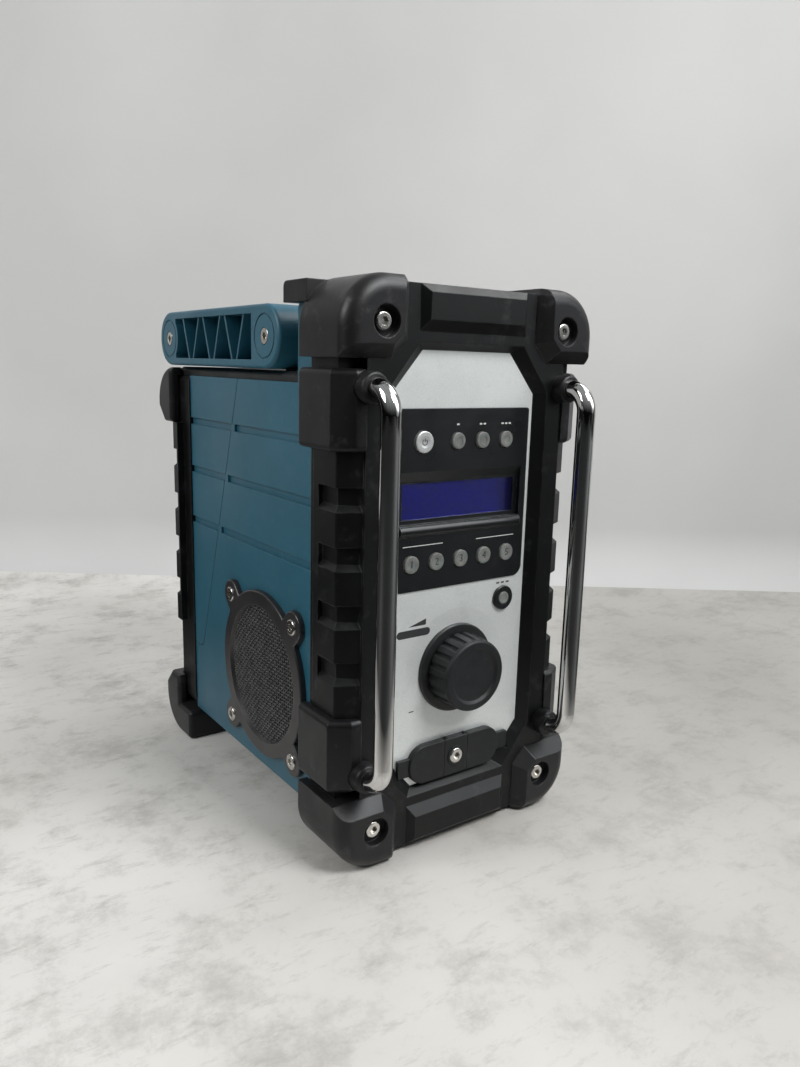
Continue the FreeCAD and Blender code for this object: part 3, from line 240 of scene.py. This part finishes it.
def paleWallFinish():
    # Hung paper backdrop: flat, faintly creased
    finish, tree, shader, where = startFinish("paleBackdropPaper", {
        "Roughness": 0.85, "Specular IOR Level": 0.2})
    patch = spread(tree, softNoise(tree, where, 420.0, 3.0), 0.35, 0.65, 0.0, 1.0)
    tree.links.new(blend(tree, patch, studio["wallColour"], studio["wallPatch"]), shader.inputs["Base Color"])
    return finish


def makeSweep():
    # Floor and wall as one bent sheet, square to the camera's view
    radius = studio["sweepRadius"]
    far = studio["wallDistance"]
    half, steps = studio["sweepHalf"], studio["sweepSteps"]
    profile = [(-half, 0.0)]
    for k in range(steps + 1):
        angle = math.pi / 2 * k / steps
        profile.append((far - radius + radius * math.sin(angle), radius - radius * math.cos(angle)))
    profile.append((far, half))
    ahead = Vector((math.sin(viewYaw), math.cos(viewYaw), 0))
    level = Vector((math.cos(viewYaw), -math.sin(viewYaw), 0))
    start = Vector((cameraSetup["place"][0], cameraSetup["place"][1], 0))
    verts, faces = [], []
    for along, up in profile:
        for side in (-half, half):
            verts.append(start + ahead * along + level * side + Vector((0, 0, up)))
    for i in range(len(profile) - 1):
        faces.append((2 * i, 2 * i + 1, 2 * i + 3, 2 * i + 2))
    mesh = bpy.data.meshes.new("sweep")
    mesh.from_pydata(verts, [], faces)
    mesh.materials.append(paleFloorFinish())
    mesh.materials.append(paleWallFinish())
    for face in mesh.polygons:
        face.use_smooth = True
        face.material_index = 0 if face.index < studio["floorFaces"] else 1
    sweep = bpy.data.objects.new("sweep", mesh)
    scene.collection.objects.link(sweep)


def softLamp(name):
    lamp = bpy.data.lights.new(name + "Lamp", "AREA")
    lamp.energy = studio[name + "Power"]
    lamp.size = studio[name + "Size"]
    holder = bpy.data.objects.new(name + "Lamp", lamp)
    scene.collection.objects.link(holder)
    place = Vector(studio[name + "Place"])
    holder.location = place
    holder.rotation_euler = (Vector(studio["lampAim"]) - place).to_track_quat("-Z", "Y").to_euler()


def reflectedZone(tree, direction, zone):
    # Amount, 0 to 1, of a soft box that only glossy rays meet in this direction
    meeting = addNode(tree, "VectorMath", {"operation": "DOT_PRODUCT"}, {0: direction})
    meeting.inputs[1].default_value = Vector(zone["aim"]).normalized()
    inside = spread(tree, meeting.outputs["Value"], zone["edge"], zone["core"], 0.0, zone["strength"])
    glossy = addNode(tree, "LightPath").outputs["Is Glossy Ray"]
    return addNode(tree, "Math", {"operation": "MULTIPLY"}, {0: inside, 1: glossy}).outputs[0]


def makeRoomLight():
    # Pale above and dark low down, which gives the chrome its dark streaks; plain pale where the camera sees it
    world = bpy.data.worlds.new("paleRoom")
    scene.world = world
    world.use_nodes = True
    tree = world.node_tree
    background = tree.nodes["Background"]
    direction = addNode(tree, "TexCoord").outputs["Generated"]
    height = addNode(tree, "SeparateXYZ", {}, {0: direction})
    upward = spread(tree, height.outputs["Z"], 0.05, 0.75, 0.0, 1.0)
    banded = addNode(tree, "TexWave", {"Scale": 0.9, "Distortion": 2.2, "Detail": 1.0}, {"Vector": direction})
    mixed = addNode(tree, "Math", {"operation": "MULTIPLY"},
                    {0: upward, 1: spread(tree, banded.outputs["Fac"], 0.1, 0.9, 0.72, 1.0)}).outputs[0]
    overhead = reflectedZone(tree, direction, studio["overheadZone"])
    window = reflectedZone(tree, direction, studio["windowZone"])
    paleness = addNode(tree, "Math", {"operation": "MAXIMUM"}, {0: mixed, 1: window}).outputs[0]
    seen = addNode(tree, "LightPath").outputs["Is Camera Ray"]
    shown = addNode(tree, "Math", {"operation": "MAXIMUM"}, {0: paleness, 1: seen}).outputs[0]
    tree.links.new(blend(tree, shown, studio["worldLow"], studio["worldTop"]), background.inputs["Color"])
    both = addNode(tree, "Math", {"operation": "ADD"}, {0: overhead, 1: window}).outputs[0]
    strength = addNode(tree, "Math", {"operation": "ADD", 0: studio["worldStrength"]}, {1: both}).outputs[0]
    tree.links.new(strength, background.inputs["Strength"])


makeSweep()
for lampName in ("key", "side", "top"):
    softLamp(lampName)
makeRoomLight()
print("floor, backdrop and light made")


# Finishes

# Rubberised PP, injection moulded with a fine spark-eroded grain: even dark grey, soft sheen, rubbed edges
rubberisedFrame = mouldedFinish("rubberisedPolypropylene", {
    "shader": {"IOR": 1.49, "Specular IOR Level": 0.3},
    "colour": "#0a0b0c", "patchColour": "#0f1011", "patchMm": 60.0,
    "dustColour": "#6d6f70", "dustMm": 14.0, "dust": 0.18,
    "edgeMm": 0.7, "rub": 0.55, "rubColour": "#65696b",
    "smudgeMm": 35.0, "roughLow": 0.34, "roughHigh": 0.48, "grainMm": 0.6, "grainStrength": 0.22})

# Thermoplastic elastomer, overmoulded: softer and blacker, smudged by hands, scuffed on the corners
bumperRubber = mouldedFinish("overmouldedElastomer", {
    "shader": {"IOR": 1.5, "Specular IOR Level": 0.35, "Sheen Weight": 0.04, "Sheen Roughness": 0.5},
    "colour": "#101012", "patchColour": "#151517", "patchMm": 42.0,
    "dustColour": "#77757a", "dustMm": 10.0, "dust": 0.2,
    "edgeMm": 0.9, "rub": 0.5, "rubColour": "#6a686c",
    "smudgeMm": 24.0, "roughLow": 0.34, "roughHigh": 0.5, "grainMm": 0.8, "grainStrength": 0.2})

# Silicone rubber of the socket cover and the knob: matt black with a faint bloom
softRubber = mouldedFinish("mattSiliconeRubber", {
    "shader": {"IOR": 1.43, "Specular IOR Level": 0.5},
    "colour": "#141517", "patchColour": "#191b1d", "patchMm": 18.0,
    "dustColour": "#5d6163", "dustMm": 5.0, "dust": 0.16,
    "edgeMm": 0.4, "rub": 0.35, "rubColour": "#4d5052",
    "smudgeMm": 9.0, "roughLow": 0.45, "roughHigh": 0.62, "grainMm": 0.45, "grainStrength": 0.2})

# ABS body, injection moulded with a fine leather-free grain: deep teal, satin, paler on its edges
tealBody = mouldedFinish("tealMouldedAbs", {
    "shader": {"IOR": 1.53, "Specular IOR Level": 0.5, "Coat Weight": 0.04, "Coat Roughness": 0.35},
    "colour": "#1e5365", "patchColour": "#22596d", "patchMm": 80.0,
    "dustColour": "#6f929b", "dustMm": 7.0, "dust": 0.12,
    "edgeMm": 0.6, "rub": 0.45, "rubColour": "#5a8794",
    "smudgeMm": 45.0, "roughLow": 0.36, "roughHigh": 0.48, "grainMm": 0.5, "grainStrength": 0.16})

# Plain black ABS of the deck, latch, socket bodies and battery case
blackAbs = mouldedFinish("blackMouldedAbs", {
    "shader": {"IOR": 1.53, "Specular IOR Level": 0.5},
    "colour": "#151617", "patchColour": "#1b1d1e", "patchMm": 30.0,
    "dustColour": "#5b5c5e", "dustMm": 8.0, "dust": 0.15,
    "edgeMm": 0.5, "rub": 0.4, "rubColour": "#55585a",
    "smudgeMm": 20.0, "roughLow": 0.4, "roughHigh": 0.55, "grainMm": 0.5, "grainStrength": 0.18})

# Sprayed steel of the speaker ring: smoother black with a dull gloss and paint worn thin on the rim
ringPaint = mouldedFinish("satinSprayedSteel", {
    "shader": {"IOR": 1.5, "Specular IOR Level": 0.6, "Coat Weight": 0.15, "Coat Roughness": 0.3},
    "colour": "#211f20", "patchColour": "#282627", "patchMm": 25.0,
    "dustColour": "#6b6869", "dustMm": 6.0, "dust": 0.12,
    "edgeMm": 0.6, "rub": 0.7, "rubColour": "#7c797a",
    "smudgeMm": 12.0, "roughLow": 0.3, "roughHigh": 0.42, "grainMm": 0.4, "grainStrength": 0.1})

# PMMA bezel round the display: smooth black gloss gone slightly hazy
bezelGloss = mouldedFinish("blackSatinAcrylic", {
    "shader": {"IOR": 1.49, "Specular IOR Level": 0.5, "Coat Weight": 0.2, "Coat Roughness": 0.15},
    "colour": "#0c0f11", "patchColour": "#101315", "patchMm": 26.0,
    "dustColour": "#50595c", "dustMm": 6.0, "dust": 0.1,
    "edgeMm": 0.35, "rub": 0.6, "rubColour": "#9fa6a8",
    "smudgeMm": 14.0, "roughLow": 0.26, "roughHigh": 0.4, "grainMm": 0.35, "grainStrength": 0.06})

# Silicone key caps, milky and translucent, lit from the surface as mid grey
keySilicone = mouldedFinish("milkyGreySilicone", {
    "shader": {"IOR": 1.41, "Specular IOR Level": 0.5, "Subsurface Weight": 0.25, "Subsurface Scale": 0.002},
    "colour": "#6c6f6d", "patchColour": "#7c7f7c", "patchMm": 5.0,
    "dustColour": "#a4a7a4", "dustMm": 2.0, "dust": 0.2,
    "edgeMm": 0.4, "rub": 0.5, "rubColour": "#a9aca9",
    "smudgeMm": 4.0, "roughLow": 0.32, "roughHigh": 0.48, "grainMm": 0.3, "grainStrength": 0.1})

# Fibreglass board with green solder mask, glossy over a faint weave
boardMask = mouldedFinish("greenSolderMask", {
    "shader": {"IOR": 1.55, "Specular IOR Level": 0.5},
    "colour": "#0f5a32", "patchColour": "#146a3c", "patchMm": 3.0,
    "dustColour": "#8a8f70", "dustMm": 1.6, "dust": 0.3,
    "edgeMm": 0.2, "rub": 0.3, "rubColour": "#9a9460",
    "smudgeMm": 6.0, "roughLow": 0.3, "roughHigh": 0.45, "grainMm": 0.5, "grainStrength": 0.1})


def metalFinish(name, look):
    # Plated or turned metal: near-mirror, with haze and fine scratches in its roughness
    finish, tree, shader, where = startFinish(name, {"Metallic": 1.0})
    patch = spread(tree, softNoise(tree, where, look["patchMm"]), 0.35, 0.65, 0.0, 1.0)
    colour = blend(tree, patch, look["colour"], look["patchColour"])
    tree.links.new(colour, shader.inputs["Base Color"])
    stretched = addNode(tree, "Mapping", {"Scale": look["scratchStretch"]}, {0: where}).outputs[0]
    scratch = softNoise(tree, stretched, look["scratchMm"], 6.0, 0.7)
    rough = spread(tree, scratch, 0.45, 0.75, look["roughLow"], look["roughHigh"])
    tree.links.new(rough, shader.inputs["Roughness"])
    rounded = addNode(tree, "Bevel", {"samples": 4, "Radius": look["edgeMm"] / 1000}).outputs["Normal"]
    bump = addNode(tree, "Bump", {"Strength": look["pitStrength"], "Distance": 0.0002},
                   {"Height": scratch, "Normal": rounded})
    tree.links.new(bump.outputs["Normal"], shader.inputs["Normal"])
    return finish


# Chrome-plated steel tube: bright mirror with tiny pits and hairlines
barChrome = metalFinish("chromePlatedTube", {
    "colour": "#d9d9d8", "patchColour": "#cfcdcb", "patchMm": 30.0, "scratchMm": 3.0,
    "scratchStretch": (1.0, 1.0, 0.25), "roughLow": 0.035, "roughHigh": 0.14, "edgeMm": 0.2, "pitStrength": 0.03})

# Zinc-plated screws: bright, a little rougher
screwZinc = metalFinish("zincPlatedSteel", {
    "colour": "#cfcdc9", "patchColour": "#bdb9b3", "patchMm": 3.0, "scratchMm": 0.8,
    "scratchStretch": (1.0, 1.0, 1.0), "roughLow": 0.14, "roughHigh": 0.34, "edgeMm": 0.35, "pitStrength": 0.12})

# Stamped speaker basket, dark passivated
basketSteel = metalFinish("darkPassivatedSteel", {
    "colour": "#4a4a4c", "patchColour": "#3b3b3d", "patchMm": 8.0, "scratchMm": 1.5,
    "scratchStretch": (1.0, 1.0, 1.0), "roughLow": 0.35, "roughHigh": 0.55, "edgeMm": 0.3, "pitStrength": 0.15})


def silverPaintFinish(name, look):
    # Silver paint on ABS: fine flakes give a pale, slightly sparkling satin
    finish, tree, shader, where = startFinish(name, {"Metallic": look["metallic"], "IOR": 1.5,
                                                     "Coat Weight": 0.25, "Coat Roughness": 0.22})
    flakes = addNode(tree, "TexVoronoi", {"Scale": 1000 / look["flakeMm"]}, {"Vector": where}).outputs["Color"]
    flakeLevel = addNode(tree, "SeparateColor", {}, {0: flakes}).outputs[0]
    colour = blend(tree, flakeLevel, look["colour"], look["flakeColour"])
    grime = spread(tree, softNoise(tree, where, 12.0, 7.0, 0.7), 0.58, 0.8, 0.0, 0.25)
    tree.links.new(blend(tree, grime, colour, look["grimeColour"]), shader.inputs["Base Color"])
    tree.links.new(spread(tree, softNoise(tree, where, 20.0), 0.3, 0.7, 0.3, 0.42), shader.inputs["Roughness"])
    rounded = addNode(tree, "Bevel", {"samples": 4, "Radius": 0.0004}).outputs["Normal"]
    bump = addNode(tree, "Bump", {"Strength": 0.05, "Distance": 0.0001},
                   {"Height": flakeLevel, "Normal": rounded})
    tree.links.new(bump.outputs["Normal"], shader.inputs["Normal"])
    return finish


panelSilver = silverPaintFinish("silverSprayedAbs", {
    "metallic": 0.4, "colour": "#dfe4e3", "flakeColour": "#ebefee", "grimeColour": "#a9adab", "flakeMm": 0.35})
keySilver = silverPaintFinish("silverSprayedKey", {
    "metallic": 0.55, "colour": "#c9cbcb", "flakeColour": "#dddfdf", "grimeColour": "#8f9292", "flakeMm": 0.3})


def windowFinish():
    # Clear PMMA window: polished, with a few hairline scratches
    finish, tree, shader, where = startFinish("clearAcrylicWindow", {
        "Base Color": hexColour("#dfe2ff"), "Transmission Weight": 1.0, "IOR": 1.49})
    drawn = addNode(tree, "Mapping", {"Scale": (1.0, 1.0, 6.0)}, {0: where}).outputs[0]
    scratch = softNoise(tree, drawn, 6.0, 8.0, 0.75)
    tree.links.new(spread(tree, scratch, 0.55, 0.8, 0.03, 0.16), shader.inputs["Roughness"])
    return finish


def displayFinish():
    # Liquid crystal cell, unlit: deep blue, darker at its right, with dot rows drawn coarse enough to show
    finish, tree, shader, where = startFinish("unlitBlueDisplay", {"Roughness": 0.3, "IOR": 1.5})
    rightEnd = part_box("display_module")[1][0]
    across = addNode(tree, "SeparateXYZ", {}, {0: where}).outputs["X"]
    darker = spread(tree, across, rightEnd - 0.016, rightEnd - 0.002, 0.0, 1.0)
    patch = spread(tree, softNoise(tree, where, 3.0, 6.0, 0.7), 0.35, 0.7, 0.0, 1.0)
    colour = blend(tree, patch, "#050584", "#030370")
    colour = blend(tree, darker, colour, "#010120")
    dots = addNode(tree, "TexChecker", {"Scale": 1000 / 0.9}, {"Vector": where}).outputs["Fac"]
    colour = blend(tree, spread(tree, dots, 0.0, 1.0, 0.0, 0.12), colour, "#02024a")
    tree.links.new(colour, shader.inputs["Base Color"])
    return finish


displayWindow = windowFinish()
displayCell = displayFinish()


def printedInk(name, colour, patchColour):
    # Pad-printed ink: thin, even, slightly broken by the surface under it
    finish, tree, shader, where = startFinish(name, {"Roughness": 0.5, "IOR": 1.48})
    broken = spread(tree, softNoise(tree, where, 0.8, 4.0, 0.7), 0.35, 0.7, 0.0, 1.0)
    tree.links.new(blend(tree, broken, colour, patchColour), shader.inputs["Base Color"])
    return finish


paleInk = printedInk("paleGreyInk", "#d6d8d6", "#b4b7b5")
darkInk = printedInk("darkGreyInk", "#2a2c2d", "#3a3d3e")
print("finishes made")


# Finishes on the CAD nodes

corners = [end + side for end in ("top_", "bottom_") for side in ("right", "left")]
wear("front_frame", "rear_frame", finish=rubberisedFrame)
wear(*["bumper_" + c for c in corners], *["bar_block_" + c for c in corners], "bar_collars",
     "rear_bumper_top_right", "rear_bumper_top_left", "rear_foot_right", "rear_foot_left", "handle_grip",
     finish=bumperRubber)
wear("knob", "socket_cover", "socket_flap_left", "socket_flap_right", finish=softRubber)
wear("front_housing", "rear_housing", "handle_arm_right", "handle_arm_left", "battery_door", finish=tealBody)
wear("top_deck", "knob_disc", "door_latch", "sockets", "battery_terminal", "battery_pack", finish=blackAbs)
wear("guard_bar_right", "guard_bar_left", finish=barChrome)
wear("front_screws", "handle_bolts", "speaker_screws", "antenna_socket", "knob_spindle", "door_hinge_pin",
     finish=screwZinc)
wear("speaker_ring_right", "speaker_ring_left", finish=ringPaint)
wear("speaker_drivers", finish=basketSteel)
wear("front_panel", finish=panelSilver)
wear("display_bezel", "auto_tune_collar", finish=bezelGloss)
wear("display_lens", finish=displayWindow)
wear("display_module", finish=displayCell)
wear("circuit_boards", finish=boardMask)
wear("power_button", finish=keySilver)
presetKeys = ["preset_button_" + str(i) for i in range(1, 6)]
functionKeys = ["function_button_" + str(i) for i in range(1, 4)]
wear(*presetKeys, *functionKeys, "auto_tune_button", finish=keySilicone)
print("CAD nodes dressed")


# Woven grille wire in place of the plain sheets

grille = {
    "pitch": 0.0021,        # real cloth is nearer 1.2 mm; drawn as coarse as it needs to show
    "wire": 0.00042,        # wire radius
    "dome": 0.0018,
    "reach": 0.0408,
    "segments": 2,          # steps for each crossing
    "sides": 4, "rimHalf": 0.0012, "rimSteps": 72,
}

# Powder-coated steel wire cloth: black, with dull glints on the crowns of the weave
wireCloth = mouldedFinish("blackWireCloth", {
    "shader": {"IOR": 1.5, "Specular IOR Level": 0.6, "Metallic": 0.2},
    "colour": "#5e5e5e", "patchColour": "#484848", "patchMm": 6.0,
    "dustColour": "#8a8886", "dustMm": 3.0, "dust": 0.25,
    "edgeMm": 0.1, "rub": 0.3, "rubColour": "#7c7c7c",
    "smudgeMm": 5.0, "roughLow": 0.32, "roughHigh": 0.5, "grainMm": 0.3, "grainStrength": 0.1})


def weaveGrille(side):
    node = "speaker_mesh_" + side
    sign = 1 if side == "right" else -1
    low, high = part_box(node)
    midY, midZ = centreOf(node)[1:]
    base = min(abs(low[0]), abs(high[0])) + grille["wire"] * 2.2
    pitch, radius, reach, sides = grille["pitch"], grille["wire"], grille["reach"], grille["sides"]
    count = int(reach / pitch)
    verts, faces = [], []

    def domed(a, b):
        return base + grille["dome"] * max(0.0, 1 - (a * a + b * b) / (reach * reach))

    for family in (0, 1):
        for row in range(-count, count + 1):
            fixed = row * pitch
            half = math.sqrt(max(0.0, reach * reach - fixed * fixed))
            steps = max(2, int(2 * half / pitch * grille["segments"]))
            start = len(verts)
            for k in range(steps + 1):
                along = -half + 2 * half * k / steps
                phase = math.pi * (along / pitch + row + family)
                out = domed(fixed, along) + radius * math.cos(phase)
                for turn in range(sides):
                    angle = 2 * math.pi * turn / sides + math.pi / sides
                    across = fixed + radius * math.cos(angle)
                    x = sign * (out + radius * math.sin(angle))
                    y, z = (along, across) if family == 0 else (across, along)
                    verts.append((x, midY + y, midZ + z))
            for k in range(steps):
                for turn in range(sides):
                    a = start + k * sides + turn
                    b = start + k * sides + (turn + 1) % sides
                    faces.append((a, b, b + sides, a + sides))
    # Flat clamped rim of the cloth
    rimStart = len(verts)
    rings = grille["rimSteps"]
    inner, outer = reach - grille["rimHalf"], reach + grille["rimHalf"]
    section = ((inner, base), (outer, base), (outer, base - radius * 2), (inner, base - radius * 2))
    for k in range(rings):
        angle = 2 * math.pi * k / rings
        for r, x in section:
            verts.append((sign * x, midY + r * math.cos(angle), midZ + r * math.sin(angle)))
    for k in range(rings):
        here, ahead = rimStart + 4 * k, rimStart + 4 * ((k + 1) % rings)
        for turn in range(4):
            after = (turn + 1) % 4
            faces.append((here + turn, here + after, ahead + after, ahead + turn))
    piece = meshPiece("wireGrille_" + side, verts, faces, wireCloth, "cabinet", smooth=True)
    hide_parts(node)


weaveGrille("right")
weaveGrille("left")
print("speaker grilles woven")


# Printed marks and small moulded details on the front

marks = {
    "lift": 0.00006,             # ink thickness over its surface
    "presetLineZ": 0.1687, "presetLines": ((-0.0385, -0.0125), (0.0105, 0.0378)), "lineHeight": 0.00045,
    "functionMarkZ": 0.2308,
    "tick": (-0.0312, -0.0280, 0.0772, 0.0006),
    "pill": (-0.0405, -0.0186, 0.1214, 0.0021),
    "wedge": (-0.0330, -0.0215, 0.1262, 0.0022),
    "tuneMarkZ": 0.1414,
    "numberHeight": 0.0056, "dishDepth": 0.00035, "dishRadius": 0.01222,
    "dashPitch": 0.0026, "dashHalf": 0.0009, "dotPitch": 0.0036, "dotHalf": 0.0012, "strokeHalf": 0.00045,
    "bezelSetback": 0.0014,      # the preset keys stand this far proud of the bezel
}


def frontPatch(name, outline, y, finish, body="cabinet", thickness=marks["lift"]):
    # Thin raised patch facing the front, from a closed outline in X and Z
    count = len(outline)
    verts = [(x, y - thickness, z) for x, z in outline] + [(x, y, z) for x, z in outline]
    faces = [tuple(range(count)), tuple(reversed(range(count, 2 * count)))]
    for i in range(count):
        j = (i + 1) % count
        faces.append((i, i + count, j + count, j))
    return meshPiece(name, verts, faces, finish, body)


def barOutline(x0, x1, z, half):
    return [(x0, z - half), (x1, z - half), (x1, z + half), (x0, z + half)]


def roundedOutline(x0, x1, z, half, steps=8):
    points = []
    for centre, start in ((x1 - half, -90), (x0 + half, 90)):
        for k in range(steps + 1):
            angle = math.radians(start + 180 * k / steps)
            points.append((centre + half * math.cos(angle), z + half * math.sin(angle)))
    return points


def printFrontMarks():
    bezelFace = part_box("preset_button_1")[0][1] + marks["bezelSetback"]
    stroke = marks["strokeHalf"]
    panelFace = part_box("front_panel")[0][1]
    for i, (x0, x1) in enumerate(marks["presetLines"]):
        outline = barOutline(x0, x1, marks["presetLineZ"], marks["lineHeight"] / 2)
        frontPatch("presetLine_" + str(i + 1), outline, bezelFace, paleInk)
    for i, key in enumerate(functionKeys):
        x = centreOf(key)[0]
        z = marks["functionMarkZ"]
        # one, two or three short dashes tell the keys apart
        for k in range(i + 1):
            middle = x + (k - i / 2) * marks["dashPitch"]
            outline = roundedOutline(middle - marks["dashHalf"], middle + marks["dashHalf"], z, stroke)
            frontPatch("keyDash_%d_%d" % (i + 1, k + 1), outline, bezelFace, paleInk)
    x0, x1, z, half = marks["tick"]
    frontPatch("lowTick", barOutline(x0, x1, z, half / 2), panelFace, darkInk)
    x0, x1, z, half = marks["pill"]
    frontPatch("tuningBar", roundedOutline(x0, x1, z, half), panelFace, darkInk)
    x0, x1, z, half = marks["wedge"]
    frontPatch("volumeWedge", [(x0, z - half * 0.5), (x1, z - half * 0.5), (x1, z + half)], panelFace, darkInk)
    x = centreOf("auto_tune_button")[0]
    for i in range(3):
        middle = x + (i - 1) * marks["dotPitch"]
        half = marks["dotHalf"]
        outline = roundedOutline(middle - half, middle + half, marks["tuneMarkZ"], stroke)
        frontPatch("tuneDot_" + str(i + 1), outline, panelFace, darkInk)


def numberKeys():
    # Figures 1 to 5, laid on the dished tops of the keys
    for i, key in enumerate(presetKeys):
        figure = bpy.data.curves.new("figure" + str(i + 1), "FONT")
        figure.body = str(i + 1)
        figure.size = marks["numberHeight"]
        figure.align_x = "CENTER"
        figure.align_y = "CENTER"
        maker = bpy.data.objects.new("figureMaker", figure)
        scene.collection.objects.link(maker)
        bpy.context.view_layer.update()
        shape = bpy.data.meshes.new_from_object(maker.evaluated_get(bpy.context.evaluated_depsgraph_get()))
        bpy.data.objects.remove(maker)
        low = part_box(key)[0]
        midX, _, midZ = centreOf(key)
        front, back = [], []
        for vert in shape.vertices:
            distance = vert.co.x ** 2 + vert.co.y ** 2
            y = low[1] + max(0.0, marks["dishDepth"] - distance / (2 * marks["dishRadius"])) - marks["lift"]
            front.append((midX + vert.co.x, y, midZ + vert.co.y))
            back.append((midX + vert.co.x, y + marks["lift"], midZ + vert.co.y))
        count = len(front)
        faces = [tuple(face.vertices) for face in shape.polygons]
        faces += [tuple(count + v for v in reversed(face)) for face in faces[:]]
        meshPiece("keyFigure_" + str(i + 1), front + back, faces, darkInk, key + "_body")
        bpy.data.meshes.remove(shape)


powerSign = {
    "setback": 0.0002, "thickness": 0.00008,
    "radii": (0.00125, 0.00165), "halfGap": 35, "steps": 26,     # the gap is in degrees
    "barHalf": 0.0002, "barUp": 0.0010, "barReach": 0.0009,
}


def powerMark():
    # Small open ring with a bar through its gap at the top
    midX, _, midZ = centreOf("power_button")
    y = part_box("power_button")[0][1] + powerSign["setback"]
    verts, faces = [], []
    steps, gap = powerSign["steps"], powerSign["halfGap"]
    for k in range(steps + 1):
        angle = math.radians(90 + gap + (360 - 2 * gap) * k / steps)
        for r in powerSign["radii"]:
            for lift in (0.0, -powerSign["thickness"]):
                verts.append((midX + r * math.cos(angle), y + lift, midZ + r * math.sin(angle)))
    for k in range(steps):
        a = 4 * k
        faces += [(a + 1, a + 3, a + 7, a + 5), (a, a + 1, a + 5, a + 4), (a + 3, a + 2, a + 6, a + 7)]
    meshPiece("powerRing", verts, faces, darkInk, "power_button_body")
    bar = barOutline(midX - powerSign["barHalf"], midX + powerSign["barHalf"], midZ + powerSign["barUp"],
                     powerSign["barReach"])
    frontPatch("powerBar", bar, y, darkInk, "power_button_body", powerSign["thickness"])


def turnedRing(name, centre, profile, finish, body, steps=48):
    # Ring turned about an axis along Y; the profile is radius and depth
    verts, faces = [], []
    count = len(profile)
    for k in range(steps):
        angle = 2 * math.pi * k / steps
        for r, depth in profile:
            verts.append((centre[0] + r * math.cos(angle), centre[1] + depth, centre[2] + r * math.sin(angle)))
    for k in range(steps):
        for i in range(count):
            a = k * count + i
            b = k * count + (i + 1) % count
            nextRing = ((k + 1) % steps) * count
            faces.append((a, b, nextRing + (i + 1) % count, nextRing + i))
    return meshPiece(name, verts, faces, finish, body, smooth=True)


keyRim = {
    "radii": (0.0021, 0.0024, 0.0027), "setback": 0.0001, "crown": 0.0001, "root": 0.0002, "steps": 32,
}


def keyCentres():
    # Low ring round the middle of each grey key, as the milky caps show
    inner, middle, outer = keyRim["radii"]
    profile = [(inner, 0.0), (middle, -keyRim["crown"]), (outer, 0.0), (middle, keyRim["root"])]
    for key in functionKeys + ["auto_tune_button"]:
        x, _, z = centreOf(key)
        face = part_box(key)[0][1] + keyRim["setback"]
        turnedRing("keyRim_" + key, (x, face, z), profile, keySilicone, key + "_body",
                   keyRim["steps"])


coverNub = {"reach": 0.0066, "radius": 0.0011, "sink": 0.0002, "front": 0.0012, "back": 0.0034, "steps": 10}


def coverDetails():
    # Two small half-round nubs on the cover's top edge, beside the flaps' bends
    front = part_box("socket_cover")[0][1]
    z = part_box("socket_flap_left")[1][2] - coverNub["sink"]
    radius, steps = coverNub["radius"], coverNub["steps"]
    for i, x in enumerate((-coverNub["reach"], coverNub["reach"])):
        verts, faces = [], []
        for k in range(steps + 1):
            angle = math.pi * k / steps
            for y in (front + coverNub["front"], front + coverNub["back"]):
                verts.append((x + radius * math.cos(angle), y, z + radius * math.sin(angle)))
        for k in range(steps):
            a = 2 * k
            faces.append((a, a + 1, a + 3, a + 2))
        faces.append(tuple(2 * k for k in range(steps + 1)))
        faces.append(tuple(2 * k + 1 for k in reversed(range(steps + 1))))
        meshPiece("coverNub_" + str(i + 1), verts, faces, softRubber, "cabinet")


printFrontMarks()
numberKeys()
powerMark()
keyCentres()
coverDetails()
print("front marks and small details made")
